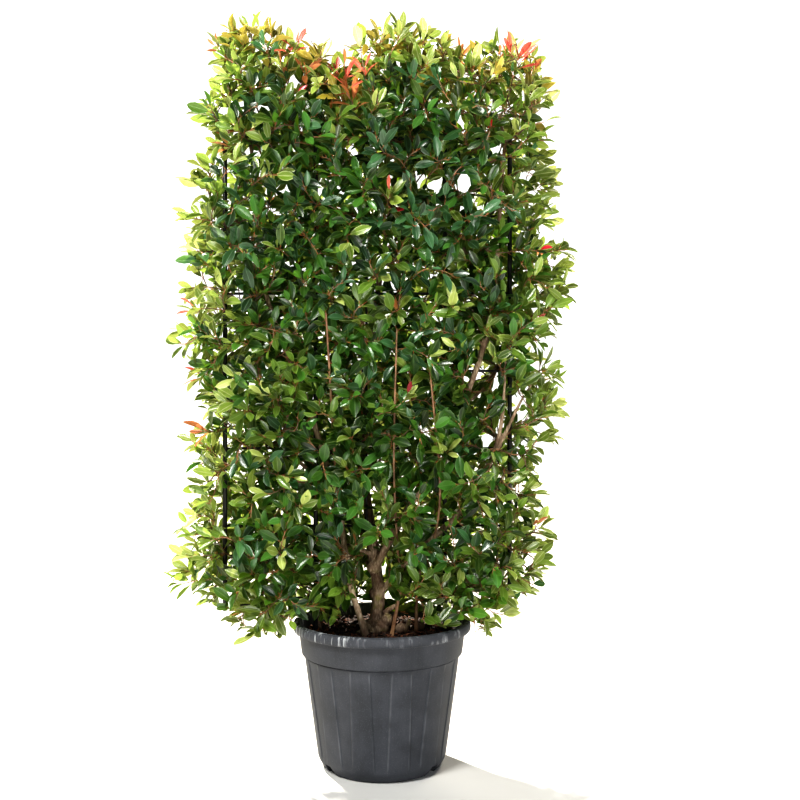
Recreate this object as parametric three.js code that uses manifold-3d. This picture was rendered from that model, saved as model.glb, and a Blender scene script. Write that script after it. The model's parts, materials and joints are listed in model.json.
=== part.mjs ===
// A red robin photinia trained flat as a screen: several stems in a ribbed nursery pot, fanned out on a
// black steel training frame, with the crown in fifteen masses of twigs and leaves.
// Millimetres, +Z up. The origin is the middle of the pot's flat underside, and -Y is the front.
import * as THREE from "three";
import { mergeVertices } from "three/addons/utils/BufferGeometryUtils.js";
import Module from "manifold-3d";

const wasm = await Module();
wasm.setup();

// ---------------------------------------------------------------- driving dimensions
const gap = 0.3; // between pieces that touch
const weld = 1e-3; // points closer than this are one
const sliver = 0.12; // anything smaller is smoothed out of the foliage

const pot = {
  height: 385,
  footRadius: 155,
  baseRadius: 172,
  neckRadius: 207, // the wall's top, under the band
  bandRadius: 214,
  rimRadius: 237,
  neckHeight: 297,
  lipHeight: 28,
  wall: 4.5,
  floor: 6,
  panels: 12,
  panelTopAngle: 7.5, // half the angle of a sunk panel, in degrees
  panelBaseAngle: 4.7,
  panelDepth: 1.6,
  panelStep: 0.6, // half the angle over which a panel sinks in
  notchAngles: [55, 125, 235, 305], // drainage cuts in the foot
  notchWidth: 24,
  notchHeight: 17,
  insideSides: 24,
};

const compost = { top: 350, flatRadius: 188, edgeDrop: 6, slack: 1.2 };
const sunk = compost.top - 8; // where a stem's own shape starts, below the level cut that ends it

// The training frame: four upright tubes, of which two are legs, and thin rods welded to them.
const frame = {
  left: -421,
  right: 342,
  legLeft: -178,
  legRight: 168,
  middle: -42,
  top: 1672, // the highest cross rod
  foot: 405,
  legFoot: 210, // down in the compost
  tubeRadius: 6.5,
  rodRadius: 3.5,
  overTop: 12, // the tubes stand this far above the highest rod
  overSide: 2,
  rows: 6,
  rowPitch: 208,
  braceRise: 36,
};

// Each limb has a few points [x, y, z] from foot to tip, its radius at both ends, a flare at the foot
// and the limbs that it is cut back from where it leaves them.
const stems = {
  trunk: {
    via: [[-19, 6, sunk], [-9, 12, 442], [-22, 22, 540], [-31, 32, 612]],
    r: [18.5, 16], flare: 10, steps: 8,
  },
  stem_left: {
    via: [[-40, -44, sunk], [-86, -48, 496], [-98, -38, 575], [-116, -26, 690]], r: [8, 9], flare: 5,
    cutBy: ["trunk"],
  },
  stem_far_left: { via: [[-168, 32, sunk], [-198, 30, 424], [-294, 10, 505]], r: [7, 5], flare: 3, steps: 5 },
  stem_far_right: { via: [[178, 32, sunk], [204, 32, 424], [298, 10, 500]], r: [6.5, 5], flare: 3, steps: 5 },
  shoot_middle: {
    via: [[26, -32, sunk], [48, -40, 482], [40, -52, 600], [32, -92, 800], [40, -138, 1150]],
    r: [4.6, 2.8], flare: 6, steps: 8,
  },
  shoot_right: {
    via: [[90, -20, sunk], [99, -26, 505], [136, -38, 596], [152, -70, 720], [124, -136, 1050]],
    r: [4.6, 2.8], flare: 4, steps: 8,
  },
};
const rootAngles = [15, 95, 200, 305]; // the roots that swell the trunk's foot

// The boughs that fan out on the frame, behind it in the middle and in front of it on both sides.
const boughs = {
  bough_leader: {
    via: [[-31, 32, 612], [-60, 36, 880], [-14, 34, 1250], [44, 32, 1630]], r: [14, 5], steps: 8,
    cutBy: ["trunk"],
  },
  bough_left: {
    via: [[-116, -26, 690], [-190, -30, 940], [-312, -28, 1270], [-346, -26, 1625]], r: [8.5, 5], steps: 8,
    cutBy: ["stem_left"],
  },
  bough_right: {
    via: [[-16, 12, 520], [22, -12, 600], [126, -30, 780], [274, -32, 1130], [324, -26, 1625]],
    r: [11, 5], steps: 9, cutBy: ["trunk", "bough_leader"],
  },
  bough_right_low: {
    via: [[-6, 10, 450], [70, -20, 545], [222, -32, 690], [298, -30, 826]], r: [9, 7], steps: 6,
    cutBy: ["trunk"],
  },
  shoot_left: {
    via: [[-120, -26, 700], [-124, -60, 830], [-140, -142, 1190]], r: [4.2, 2.8],
    cutBy: ["bough_left", "stem_left"],
  },
};

// The masses stand in three columns of five, from the lowest up. Each is carried by the tip of the limb
// named here, or by a side bough that leaves a limb at a share of its length and makes a turn.
const columns = {
  left: {
    x: -336,
    lift: 0,
    carriers: [
      "stem_far_left",
      { from: ["bough_left", 0.07], turn: [-118, 2, 84] },
      { from: ["bough_left", 0.37], turn: [-104, 44, 96] },
      { from: ["bough_left", 0.68], turn: [-96, 48, 98] },
      "bough_left",
    ],
  },
  middle: {
    x: 18,
    lift: 66, // half a step higher than the columns beside it
    carriers: [
      { from: ["trunk", 0.6], turn: [-46, 62, 46] },
      { from: ["bough_leader", 0.1], turn: [-62, 34, 88] },
      { from: ["bough_leader", 0.42], turn: [-66, 30, 92] },
      { from: ["bough_leader", 0.74], turn: [58, 34, 92] },
      "bough_leader",
    ],
  },
  right: {
    x: 328,
    lift: -8,
    carriers: [
      "stem_far_right",
      "bough_right_low",
      { from: ["bough_right", 0.42], turn: [86, 62, 84] },
      { from: ["bough_right", 0.72], turn: [-88, 58, 92] },
      "bough_right",
    ],
  },
};
const lowestMass = 500; // height of the lowest mass's centre
const massPitch = 322;
const massJitter = 34;
const firstSeed = 2100;
const sideBough = { r: [6, 4.4], steps: 3, sag: 0.72 };

// The crown: a rounded oblong in plan, with wavy ends and ridge.
const crown = {
  halfDepth: 190,
  square: 4, // exponent of the rounded oblong
  topRound: 100, // how far the top falls from the ridge to the faces
  bottom: 340,
  potRoom: 252, // foliage keeps off the pot inside this radius
  potTop: 402,
  bareHalfWidth: 130, // in front of the trunk the crown is open up to bareTop
  bareTop: 540,
  bareDepth: 20,
  wave: { size: 34, x: 46, y: 52, z: 50 }, // the borders between the masses
  // x of the two ends at a height z, and the ridge's z at an x
  left: [[362, -394], [480, -554], [621, -562], [729, -524], [1157, -574], [1586, -539], [1640, -479],
    [1747, -530], [1980, -474]],
  right: [[362, 316], [480, 450], [621, 468], [729, 436], [943, 486], [1372, 506], [1747, 464], [1980, 450]],
  ridge: [[-474, 2000], [-294, 1994], [-124, 1918], [56, 2010], [236, 1916], [306, 1972], [486, 1904]],
};

const twig = {
  stemRadius: 5.5,
  tipRadius: 2.4,
  sides: 3,
  stemLength: 30, // straight on from the bough
  perMass: 10,
  placesTried: 26, // for each tip
  spread: [440, 380, 400], // the box round a mass's centre in which tips are sought
  wayShare: 0.3, // weight of the way back to the root, beside the new twig's own length
  sway: 0.14, // how far a twig's middle is carried along its parent, as a share of its length
  lift: 0.05,
};
const leaf = {
  length: 180, // larger than life: each stands for a spray
  widthShare: 0.5,
  widest: 0.52, // share of the length
  thickness: 3,
  fold: 0.16,
  droop: 0.06,
  perMass: 21,
  perShoot: 4,
  placesTried: 44, // on each shoot
  goldenAngle: 137.5,
  openAngles: [18, 126], // from the shoot's tip down, in degrees
  alongShoot: 0.5, // the leaves stand on this share of the shoot
  rows: 14, // of the net of points that stands for a leaf
  square: 14, // the grid on which hidden squares are counted
  leastGain: 6,
};
const clear = { limb: 8, twig: 5, tip: 14, border: 2.2 };

// ---------------------------------------------------------------- small helpers
const v = (x, y, z) => new THREE.Vector3(x, y, z);
const { degToRad: radians, smoothstep: smooth, lerp } = THREE.MathUtils;

// A repeatable stream of numbers from 0 to 1.
function seeded(seed) {
  let state = seed >>> 0;
  return () => {
    state = (state + 0x6d2b79f5) >>> 0;
    let t = Math.imul(state ^ (state >>> 15), state | 1);
    t ^= t + Math.imul(t ^ (t >>> 7), t | 61);
    return ((t ^ (t >>> 14)) >>> 0) / 2 ** 32;
  };
}

// The value at t of a table of [t, value] pairs.
function lookUp(table, t) {
  const k = table.findIndex(([key]) => key > t);
  if (k === 0) return table[0][1];
  if (k < 0) return table[table.length - 1][1];
  const [[t0, a], [t1, b]] = [table[k - 1], table[k]];
  return lerp(a, b, (t - t0) / (t1 - t0));
}

// The same shape with points that lie close together made one.
function welded(geometry) {
  const bare = geometry.clone();
  bare.deleteAttribute("normal");
  bare.deleteAttribute("uv");
  return mergeVertices(bare, weld);
}

// True if each edge of the welded shape joins exactly two of its faces.
function isSound(geometry) {
  const corners = welded(geometry).index.array;
  const uses = new Map();
  for (let i = 0; i < corners.length; i += 3) {
    const face = [corners[i], corners[i + 1], corners[i + 2]];
    if (new Set(face).size < 3) continue;
    face.forEach((a, k) => {
      const b = face[(k + 1) % 3];
      const edge = a < b ? `${a} ${b}` : `${b} ${a}`;
      uses.set(edge, (uses.get(edge) ?? 0) + 1);
    });
  }
  return [...uses.values()].every((n) => n === 2);
}

function solidOf(geometry) {
  const merged = welded(geometry);
  return new wasm.Manifold(
    new wasm.Mesh({
      numProp: 3,
      vertProperties: new Float32Array(merged.attributes.position.array),
      triVerts: new Uint32Array(merged.index.array),
    }),
  );
}

function geometryOf(solid) {
  const mesh = solid.getMesh();
  const geometry = new THREE.BufferGeometry();
  geometry.setAttribute("position", new THREE.BufferAttribute(mesh.vertProperties, 3));
  geometry.setIndex(new THREE.BufferAttribute(mesh.triVerts, 1));
  geometry.computeVertexNormals();
  return geometry;
}

// The largest connected piece of a solid: loose scraps and sealed hollows are left out.
const mainPiece = (solid) => solid.decompose().reduce((a, b) => (b.volume() > a.volume() ? b : a));

// A solid of revolution about Z from [radius, height] pairs that start and end on the axis.
function turned(profile, sides) {
  const points = profile.map(([r, z]) => new THREE.Vector2(r, z));
  return solidOf(new THREE.LatheGeometry(points, sides).rotateX(Math.PI / 2));
}

// A closed skin over rings that hold the same number of points, with a flat face on each end.
function loft(rings) {
  const count = rings[0].length;
  const last = (rings.length - 1) * count;
  const faces = [];
  for (let r = 0; r + 1 < rings.length; r++)
    for (let i = 0; i < count; i++) {
      const [a, b] = [r * count + i, r * count + ((i + 1) % count)];
      faces.push(a, b, b + count, a, b + count, a + count);
    }
  for (let i = 1; i + 1 < count; i++) faces.push(0, i + 1, i, last, last + i, last + i + 1);
  const geometry = new THREE.BufferGeometry().setFromPoints(rings.flat());
  geometry.setIndex(faces);
  return geometry;
}

// The closed skin of a path of { p, along, r }, grown by extra all round and at both ends.
function tube(path, sides, extra = 0) {
  let side = v(1, 0, 0);
  const rings = path.map(({ p, along, r }, i) => {
    if (Math.abs(along.dot(side)) > 0.95) side = v(0, 1, 0);
    side = side.clone().addScaledVector(along, -along.dot(side)).normalize();
    const across = along.clone().cross(side);
    const longer = i === 0 ? -extra : i === path.length - 1 ? extra : 0;
    return Array.from({ length: sides }, (_, k) => {
      const turn = (2 * Math.PI * k) / sides;
      return p
        .clone()
        .addScaledVector(along, longer)
        .addScaledVector(side, (r + extra) * Math.cos(turn))
        .addScaledVector(across, (r + extra) * Math.sin(turn));
    });
  });
  return loft(rings);
}

// ---------------------------------------------------------------- limbs
// A limb runs smoothly through its points and tapers, with a flare that dies away from its foot.
const limbs = {};
function addLimb(name, { via, r, flare = 0, steps = 7, cutBy = [] }) {
  const curve = new THREE.CatmullRomCurve3(
    via.map((point) => v(...point)),
    false,
    "centripetal",
  );
  const path = Array.from({ length: steps + 1 }, (_, i) => {
    const t = i / steps;
    const thick = lerp(...r, t) + flare * Math.exp(-14 * t);
    return { p: curve.getPointAt(t), along: curve.getTangentAt(t), r: thick };
  });
  limbs[name] = { path, cutBy, foot: path[0].p, tip: path[steps], sides: r[0] > 10 ? 8 : r[0] > 6.5 ? 6 : 5 };
}
for (const [name, sizes] of Object.entries({ ...stems, ...boughs })) addLimb(name, sizes);

// The point of a limb at a share of its length.
function pointOn([name, share]) {
  const { path } = limbs[name];
  const k = share * (path.length - 1);
  const low = Math.floor(k);
  return path[low].p.clone().lerp(path[low + 1].p, k - low);
}

// The masses' centres and the limb that carries each. Side boughs are added on the way.
const masses = [];
const jitter = seeded(11);
for (const [side, { x, lift, carriers }] of Object.entries(columns))
  carriers.forEach((carrier, row) => {
    const height = lowestMass + row * massPitch + lift;
    const centre = v(x + massJitter * (jitter() - 0.5), 0, height + massJitter * (jitter() - 0.5));
    let bough = carrier;
    if (carrier.from) {
      bough = `bough_${side}_${row + 1}`;
      const [from, turn] = [pointOn(carrier.from), v(...carrier.turn)];
      const middle = from.clone().addScaledVector(turn, 0.5);
      middle.z = lerp(from.z, middle.z, sideBough.sag);
      const via = [from, middle, from.clone().add(turn)].map((p) => p.toArray());
      addLimb(bough, { ...sideBough, via, cutBy: [carrier.from[0]] });
    }
    masses.push({ name: `foliage_${side}_${row + 1}`, centre, bough, seed: firstSeed + masses.length });
  });

// Roots that swell the trunk's foot, each a cone that dives into the compost.
function rootFlares(base) {
  return rootAngles.map((angle, k) => {
    const out = v(Math.cos(radians(angle)), Math.sin(radians(angle)), 0);
    const start = base.clone().addScaledVector(out, 6).setZ(compost.top + 26);
    const end = base
      .clone()
      .addScaledVector(out, 46 + 9 * (k % 3))
      .setZ(compost.top - 5);
    const along = end.clone().sub(start).normalize();
    const root = [
      [0, 9],
      [0.5, 8],
      [1, 4],
    ].map(([t, r]) => ({ p: start.clone().lerp(end, t), along, r }));
    return tube(root, 5);
  });
}

// A limb's solid: cut level just above the compost, and clear of the limbs that it leaves.
function limbSolid(name) {
  const { path, cutBy, foot, sides } = limbs[name];
  let solid = solidOf(tube(path, sides));
  if (name === "trunk") solid = wasm.Manifold.union([solid, ...rootFlares(foot).map(solidOf)]);
  const level = compost.top + gap;
  if (foot.z < level) {
    const block = 4 * compost.flatRadius;
    const below = new THREE.BoxGeometry(block, block, block).translate(0, 0, level - block / 2);
    solid = solid.subtract(solidOf(below));
  }
  for (const other of cutBy) {
    solid = solid.subtract(solidOf(tube(limbs[other].path, limbs[other].sides, gap)));
  }
  return mainPiece(solid);
}

// ---------------------------------------------------------------- the training frame
const rods = {};
function addRod(name, from, to, r) {
  rods[name] = { from: v(...from), to: v(...to), r };
}
const uprights = {
  frame_left: [frame.left, frame.foot],
  frame_right: [frame.right, frame.foot],
  frame_leg_left: [frame.legLeft, frame.legFoot],
  frame_leg_right: [frame.legRight, frame.legFoot],
};
for (const [name, [x, foot]] of Object.entries(uprights))
  addRod(name, [x, 0, foot], [x, 0, frame.top + frame.overTop], frame.tubeRadius);

const rodBehind = frame.tubeRadius + frame.rodRadius + gap; // the cross rods lie on the tubes' backs
const overSide = frame.tubeRadius + frame.overSide;
for (let k = 0; k < frame.rows; k++) {
  const z = frame.top - k * frame.rowPitch;
  const [left, right] = [frame.left - overSide, frame.right + overSide];
  addRod(`frame_row_${k + 1}`, [left, rodBehind, z], [right, rodBehind, z], frame.rodRadius);
}
const middleY = rodBehind - 2 * frame.rodRadius - gap; // the middle rod lies on their fronts
const lowestRow = frame.top - (frame.rows - 1) * frame.rowPitch;
addRod(
  "frame_middle",
  [frame.middle, middleY, lowestRow - overSide],
  [frame.middle, middleY, frame.top + overSide],
  frame.rodRadius,
);
for (const [side, outer, inner] of [
  ["left", frame.left - overSide, frame.legLeft + overSide],
  ["right", frame.right + overSide, frame.legRight - overSide],
]) {
  const foot = frame.foot + overSide;
  addRod(
    `frame_brace_${side}`,
    [outer, -rodBehind, foot],
    [inner, -rodBehind, foot + frame.braceRise],
    frame.rodRadius,
  );
}

// A rod as a cylinder at the origin, with the place and turn that take it to its ends.
function rodMesh({ from, to, r }, extra = 0) {
  const length = from.distanceTo(to) + 2 * extra;
  const mesh = new THREE.Mesh(new THREE.CylinderGeometry(r + extra, r + extra, length, r > 5 ? 10 : 8));
  mesh.position.copy(from).lerp(to, 0.5);
  mesh.quaternion.setFromUnitVectors(v(0, 1, 0), to.clone().sub(from).normalize());
  return mesh;
}

// ---------------------------------------------------------------- the room for foliage
const crownAt = (p) => {
  const [left, right] = [lookUp(crown.left, p.z), lookUp(crown.right, p.z)];
  return {
    across: (2 * p.x - left - right) / (right - left),
    deep: p.y / crown.halfDepth,
    ridge: lookUp(crown.ridge, p.x),
  };
};
function inCrown(p) {
  const { across, deep, ridge } = crownAt(p);
  if (Math.abs(across) ** crown.square + Math.abs(deep) ** crown.square > 1) return false;
  if (p.z > ridge - crown.topRound * deep * deep) return false;
  if (p.y < crown.bareDepth && Math.abs(p.x) < crown.bareHalfWidth && p.z < crown.bareTop) return false;
  return p.z > (Math.hypot(p.x, p.y) < crown.potRoom ? crown.potTop : crown.bottom);
}
// The way out of the crown at a point, longer the nearer it lies to the outline.
function outward(p) {
  const { across, deep, ridge } = crownAt(p);
  return v(across ** 3, 1.2 * deep ** 3, smooth(p.z, ridge - massPitch, ridge));
}
// A mass keeps to the points nearer to its own centre than to any other. The borders run in waves, so
// that the masses reach into each other.
function inCell(p, mass) {
  const { size, x, y, z } = crown.wave;
  const [waveX, waveZ] = [
    p.x + size * Math.sin(p.z / z + p.y / y),
    p.z + size * Math.sin(p.x / x - p.y / y + 1),
  ];
  const squareTo = ({ centre }) => (waveX - centre.x) ** 2 + (waveZ - centre.z) ** 2;
  const own = squareTo(mass);
  return masses.every((other) => {
    const apart = other.centre.distanceTo(mass.centre);
    return other === mass || (squareTo(other) - own) / (2 * apart) > clear.border;
  });
}

// Every limb and rod as short straight pieces that twigs and leaves keep clear of.
const obstacles = [
  ...Object.values(limbs).flatMap(({ path }) =>
    path.slice(1).map((end, i) => ({ a: path[i].p, b: end.p, r: Math.max(path[i].r, end.r) })),
  ),
  ...Object.values(rods).map(({ from, to, r }) => ({ a: from, b: to, r })),
];
const span = new THREE.Line3();
const nearest = v(0, 0, 0);
const isClear = (p, margin) =>
  obstacles.every(({ a, b, r }) => {
    span.set(a, b).closestPointToPoint(p, true, nearest);
    return nearest.distanceTo(p) > r + margin;
  });
const isFree = (p, mass, margin) => inCrown(p) && inCell(p, mass) && isClear(p, margin);
function isFreeWay(a, b, mass, margin) {
  const steps = Math.ceil(a.distanceTo(b) / margin);
  for (let i = 0; i <= steps; i++) if (!isFree(a.clone().lerp(b, i / steps), mass, margin)) return false;
  return true;
}

// ---------------------------------------------------------------- twigs
// The rule of growth: tips are scattered through the mass, and taken from the nearest to the farthest.
// Each is joined to the twig that gives the shortest way back to the root, by a piece that bows upwards.
function growTwigs(mass, random) {
  const { tip: end } = limbs[mass.bough];
  const root = { p: end.p.clone().addScaledVector(end.along, gap), along: end.along.clone(), way: 0 };
  const nodes = [root];
  const grow = (parent, p) => {
    const way = parent.way + parent.p.distanceTo(p);
    const node = { p, along: p.clone().sub(parent.p).normalize(), way, parent };
    nodes.push(node);
    return node;
  };
  const shake = (size) => v(random() - 0.5, random() - 0.5, random() - 0.5).multiply(size);

  // The stem goes straight on from the bough and turns to the middle of the mass, round what is in the way.
  const stem = [root, grow(root, root.p.clone().addScaledVector(end.along, twig.stemLength))];
  for (let tries = 0; tries < 60 && stem.length < 3; tries++) {
    const middle = stem[1].p.clone().lerp(mass.centre, 0.55).setY(0.8 * stem[1].p.y);
    middle.add(shake(v(2, 2, 2).multiplyScalar(tries)));
    if (isFreeWay(stem[1].p, middle, mass, clear.twig)) stem.push(grow(stem[1], middle));
  }

  // Each new tip is the one of many places that lies farthest from the tips there are.
  const tips = [];
  const box = v(...twig.spread);
  for (let k = 0; k < twig.perMass; k++) {
    let [best, most] = [null, 0];
    for (let tries = 0; tries < twig.placesTried; tries++) {
      const p = mass.centre.clone().add(shake(box));
      if (!isFree(p, mass, clear.tip)) continue;
      const room = Math.min(massPitch, ...tips.map((tip) => tip.distanceTo(p)));
      if (room > most) [best, most] = [p, room];
    }
    if (best) tips.push(best);
  }
  tips.sort((a, b) => a.distanceTo(root.p) - b.distanceTo(root.p));

  const shoots = [];
  for (const tip of tips) {
    const cost = (node) => node.p.distanceTo(tip) + twig.wayShare * node.way;
    const parents = nodes.slice(1).sort((a, b) => cost(a) - cost(b));
    for (const parent of parents.slice(0, 6)) {
      const length = parent.p.distanceTo(tip);
      const bend = parent.p.clone().lerp(tip, 0.5).addScaledVector(parent.along, twig.sway * length);
      bend.z += twig.lift * length;
      if (isFreeWay(parent.p, bend, mass, clear.twig) && isFreeWay(bend, tip, mass, clear.twig)) {
        shoots.push(grow(grow(parent, bend), tip));
        break;
      }
    }
  }
  return { stem, nodes, shoots };
}

// ---------------------------------------------------------------- leaves
// A leaf of eight faces from its root to its tip, folded up a little along the midrib.
function leafShape(root, along, up, length) {
  const side = along.clone().cross(up).normalize();
  const half = (length * leaf.widthShare) / 2;
  const point = (t, across, lift) =>
    root
      .clone()
      .addScaledVector(along, t * length)
      .addScaledVector(side, across * half)
      .addScaledVector(up, lift);
  const points = [
    point(0, 0, 0),
    point(leaf.widest, 1, leaf.fold * half),
    point(1, 0, -leaf.droop * length),
    point(leaf.widest, -1, leaf.fold * half),
    point(0.5, 0, leaf.thickness / 2),
    point(0.5, 0, -leaf.thickness / 2),
  ];
  const faces = [];
  for (let i = 0; i < 4; i++) {
    const next = (i + 1) % 4;
    faces.push(4, i, next, 5, next, i);
  }
  const geometry = new THREE.BufferGeometry().setFromPoints(points);
  geometry.setIndex(faces);
  return { geometry, points };
}

// The points of a net over a leaf, or nothing if one lies outside its mass's space or at a limb or rod.
function leafNet([root, right, tip, left], mass) {
  const net = [];
  for (let i = 1; i <= leaf.rows; i++) {
    const t = (2 * i) / leaf.rows;
    const onSide = (corner) => (t < 1 ? root.clone().lerp(corner, t) : corner.clone().lerp(tip, t - 1));
    for (const across of [0, 0.2, 0.4, 0.6, 0.8, 1]) {
      const p = onSide(right).lerp(onSide(left), across);
      if (!isFree(p, mass, clear.limb)) return null;
      net.push(p);
    }
  }
  return net;
}

// The small squares that a leaf hides, from the crown's front or back, its nearer end and from above,
// with what each is worth.
function hiddenSquares(net) {
  const squares = new Map();
  for (const p of net) {
    const [x, y, z] = p.toArray().map((c) => Math.round(c / leaf.square));
    squares.set(`${p.y < 0 ? "front" : "back"} ${x} ${z}`, 1);
    squares.set(`${p.x < 0 ? "left" : "right"} ${y} ${z}`, 0.25);
    squares.set(`top ${x} ${y}`, 0.2);
  }
  return squares;
}

// All the leaves a shoot could carry: turned by the golden angle, opening wider the lower they sit.
function leafChoices(mass, shoot, random) {
  const found = [];
  const out = outward(shoot.p);
  const lean = shoot.along.clone().multiplyScalar(0.4).add(out).add(v(0, 0, 0.3)).normalize();
  const base = v(1, 0, 0).cross(lean).normalize();
  const first = random() * 360;
  for (let k = 0; k < leaf.placesTried; k++) {
    const share = k / leaf.placesTried;
    const open = radians(lerp(...leaf.openAngles, share));
    const aside = base.clone().applyAxisAngle(lean, radians(first + leaf.goldenAngle * k));
    const along = lean.clone().multiplyScalar(Math.cos(open)).addScaledVector(aside, Math.sin(open));
    const up = lean.clone().addScaledVector(out, 0.8).addScaledVector(aside, 0.2);
    up.addScaledVector(along, -up.dot(along)).normalize();
    const root = shoot.p.clone().lerp(shoot.parent.p, leaf.alongShoot * share);
    const made = leafShape(root, along, up, leaf.length * (0.84 + 0.28 * random()));
    const net = leafNet(made.points, mass);
    if (net) found.push({ ...made, shoot, hides: hiddenSquares(net) });
  }
  return found;
}

// True if the straight line from a to b passes through a leaf.
const ray = new THREE.Ray();
function pierces(a, b, [root, right, tip, left]) {
  ray.origin.copy(a);
  ray.direction.copy(b).sub(a).normalize();
  return [right, left].some(
    (side) => ray.intersectTriangle(root, side, tip, false, nearest)?.distanceTo(a) < a.distanceTo(b),
  );
}
const isPiercedBy = (leafPoints, [root, right, tip, left]) =>
  [[root, right], [right, tip], [tip, left], [left, root], [root, tip]].some(([a, b]) =>
    pierces(a, b, leafPoints),
  );
const cross = (one, two) => isPiercedBy(one.points, two.points) || isPiercedBy(two.points, one.points);

// Of all these, one by one, the leaf that hides most of what is still open and crosses nothing.
function pickLeaves(choices, shoots) {
  const picked = [];
  const hidden = new Set();
  const count = new Map(shoots.map((shoot) => [shoot, 0]));
  let left = choices.filter(({ points, shoot: own }) =>
    shoots.every((shoot) => {
      const [start, bend] = [shoot.parent.parent.p, shoot.parent.p];
      return !pierces(start, bend, points) && (shoot === own || !pierces(bend, shoot.p, points));
    }),
  );
  while (picked.length < leaf.perMass) {
    let [best, most] = [null, leaf.leastGain];
    for (const one of left) {
      let gain = 0;
      for (const [square, worth] of one.hides) if (!hidden.has(square)) gain += worth;
      if (gain > most) [best, most] = [one, gain];
    }
    if (!best) break;
    picked.push(best);
    for (const square of best.hides.keys()) hidden.add(square);
    count.set(best.shoot, count.get(best.shoot) + 1);
    left = left.filter((one) => one !== best && count.get(one.shoot) < leaf.perShoot && !cross(one, best));
  }
  return { picked, count };
}

// ---------------------------------------------------------------- masses
function massSolid(mass, seed) {
  const random = seeded(seed);
  const { stem, nodes, shoots } = growTwigs(mass, random);
  const choices = shoots.flatMap((shoot) => leafChoices(mass, shoot, random));
  const { picked, count } = pickLeaves(choices, shoots);

  const longest = Math.max(...nodes.map((node) => node.way));
  const radius = (node) => lerp(twig.stemRadius, twig.tipRadius, node.way / longest);
  const rings = stem.map((node) => ({ ...node, r: radius(node) }));
  rings[0].r = limbs[mass.bough].tip.r;
  const pieces = [tube(rings, twig.sides + 1), ...picked.map((one) => one.geometry)];
  for (const shoot of shoots) {
    const bend = shoot.parent;
    const carries = shoots.some((other) => [shoot, bend].includes(other.parent.parent));
    if (!count.get(shoot) && !carries) continue;
    const path = [bend.parent, bend, shoot].map((node) => ({ ...node, r: 0.92 * radius(node) }));
    path[0].along = bend.along;
    pieces.push(tube(path, twig.sides));
  }
  return mainPiece(wasm.Manifold.union(pieces.map(solidOf)).simplify(sliver));
}

// Now and then two leaves only just touch, which leaves no sound skin: the mass then grows once more.
function massGeometry(mass) {
  for (let seed = mass.seed; ; seed += 50) {
    const geometry = geometryOf(massSolid(mass, seed));
    if (isSound(geometry)) return geometry;
  }
}

// ---------------------------------------------------------------- the pot and its compost
const lipFoot = pot.height - pot.lipHeight;

// A ring of the pot's skin, with the sunk panels set back by sink. They widen upwards.
function potRing(r, z, sink = 0) {
  const half = lerp(pot.panelBaseAngle, pot.panelTopAngle, smooth(z, 0, pot.neckHeight));
  const step = pot.panelStep;
  const corners = [
    [-half - step, 0],
    [-half + step, sink],
    [half - step, sink],
    [half + step, 0],
  ];
  return Array.from({ length: pot.panels }, (_, k) =>
    corners.map(([corner, back]) => {
      const angle = radians((360 / pot.panels) * k + corner);
      return v((r - back) * Math.sin(angle), -(r - back) * Math.cos(angle), z);
    }),
  ).flat();
}

// The pot's inside up to a height, as [radius, height] pairs, drawn in by the given slack.
const potInside = (slack) => [
  [0, pot.floor + slack],
  [pot.footRadius - pot.wall - slack, pot.floor + slack],
  [pot.baseRadius - pot.wall - 2 - slack, 26],
  [pot.neckRadius - pot.wall - slack, pot.neckHeight + 2],
];

function potSolid() {
  const { height, neckHeight, footRadius, baseRadius, neckRadius, bandRadius, rimRadius, panelDepth } = pot;
  const outer = loft([
    potRing(footRadius, 0),
    potRing(lerp(footRadius, baseRadius, 0.6), 8),
    potRing(baseRadius - 1.5, 22),
    potRing(baseRadius + 2.4, 50, panelDepth),
    potRing(neckRadius - 0.6, neckHeight - 5, panelDepth),
    potRing(neckRadius, neckHeight - 1),
    potRing(bandRadius, neckHeight + 3),
    potRing(bandRadius + 7, lipFoot),
    potRing(rimRadius - 3, lipFoot + 1.5),
    potRing(rimRadius, lipFoot + 9),
    potRing(rimRadius - 2, height - 5),
    potRing(rimRadius - 9, height),
  ]);
  const above = height + 20;
  const cavity = turned(
    [
      ...potInside(0),
      [bandRadius + 6 - pot.wall, lipFoot + 2],
      [rimRadius - 19, height - 3],
      [rimRadius - 18, above],
      [0, above],
    ],
    pot.insideSides,
  );
  let solid = solidOf(outer).subtract(cavity);
  for (const angle of pot.notchAngles) {
    const notch = new THREE.CylinderGeometry(1, pot.notchWidth / 2, pot.notchHeight, 4);
    notch.rotateY(Math.PI / 4).scale(1, 1, 2).rotateX(Math.PI / 2);
    notch.translate(0, -(footRadius + 8), pot.notchHeight / 2 - 0.01).rotateZ(radians(angle));
    solid = solid.subtract(solidOf(notch));
  }
  return mainPiece(solid);
}

function compostSolid() {
  const { top, flatRadius, edgeDrop, slack } = compost;
  const edge = top - edgeDrop;
  const edgeShare = (edge - pot.neckHeight) / (lipFoot - pot.neckHeight);
  const edgeRadius = lerp(pot.neckRadius, pot.bandRadius + 6, edgeShare) - pot.wall - slack;
  const inside = potInside(slack);
  const profile = [...inside, [edgeRadius, edge], [flatRadius, top], [0, top]];
  let solid = turned(profile, pot.insideSides);
  for (const name of ["frame_leg_left", "frame_leg_right"]) {
    const leg = rodMesh(rods[name], gap);
    leg.updateMatrix();
    solid = solid.subtract(solidOf(leg.geometry.applyMatrix4(leg.matrix)));
  }
  return mainPiece(solid);
}

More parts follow.
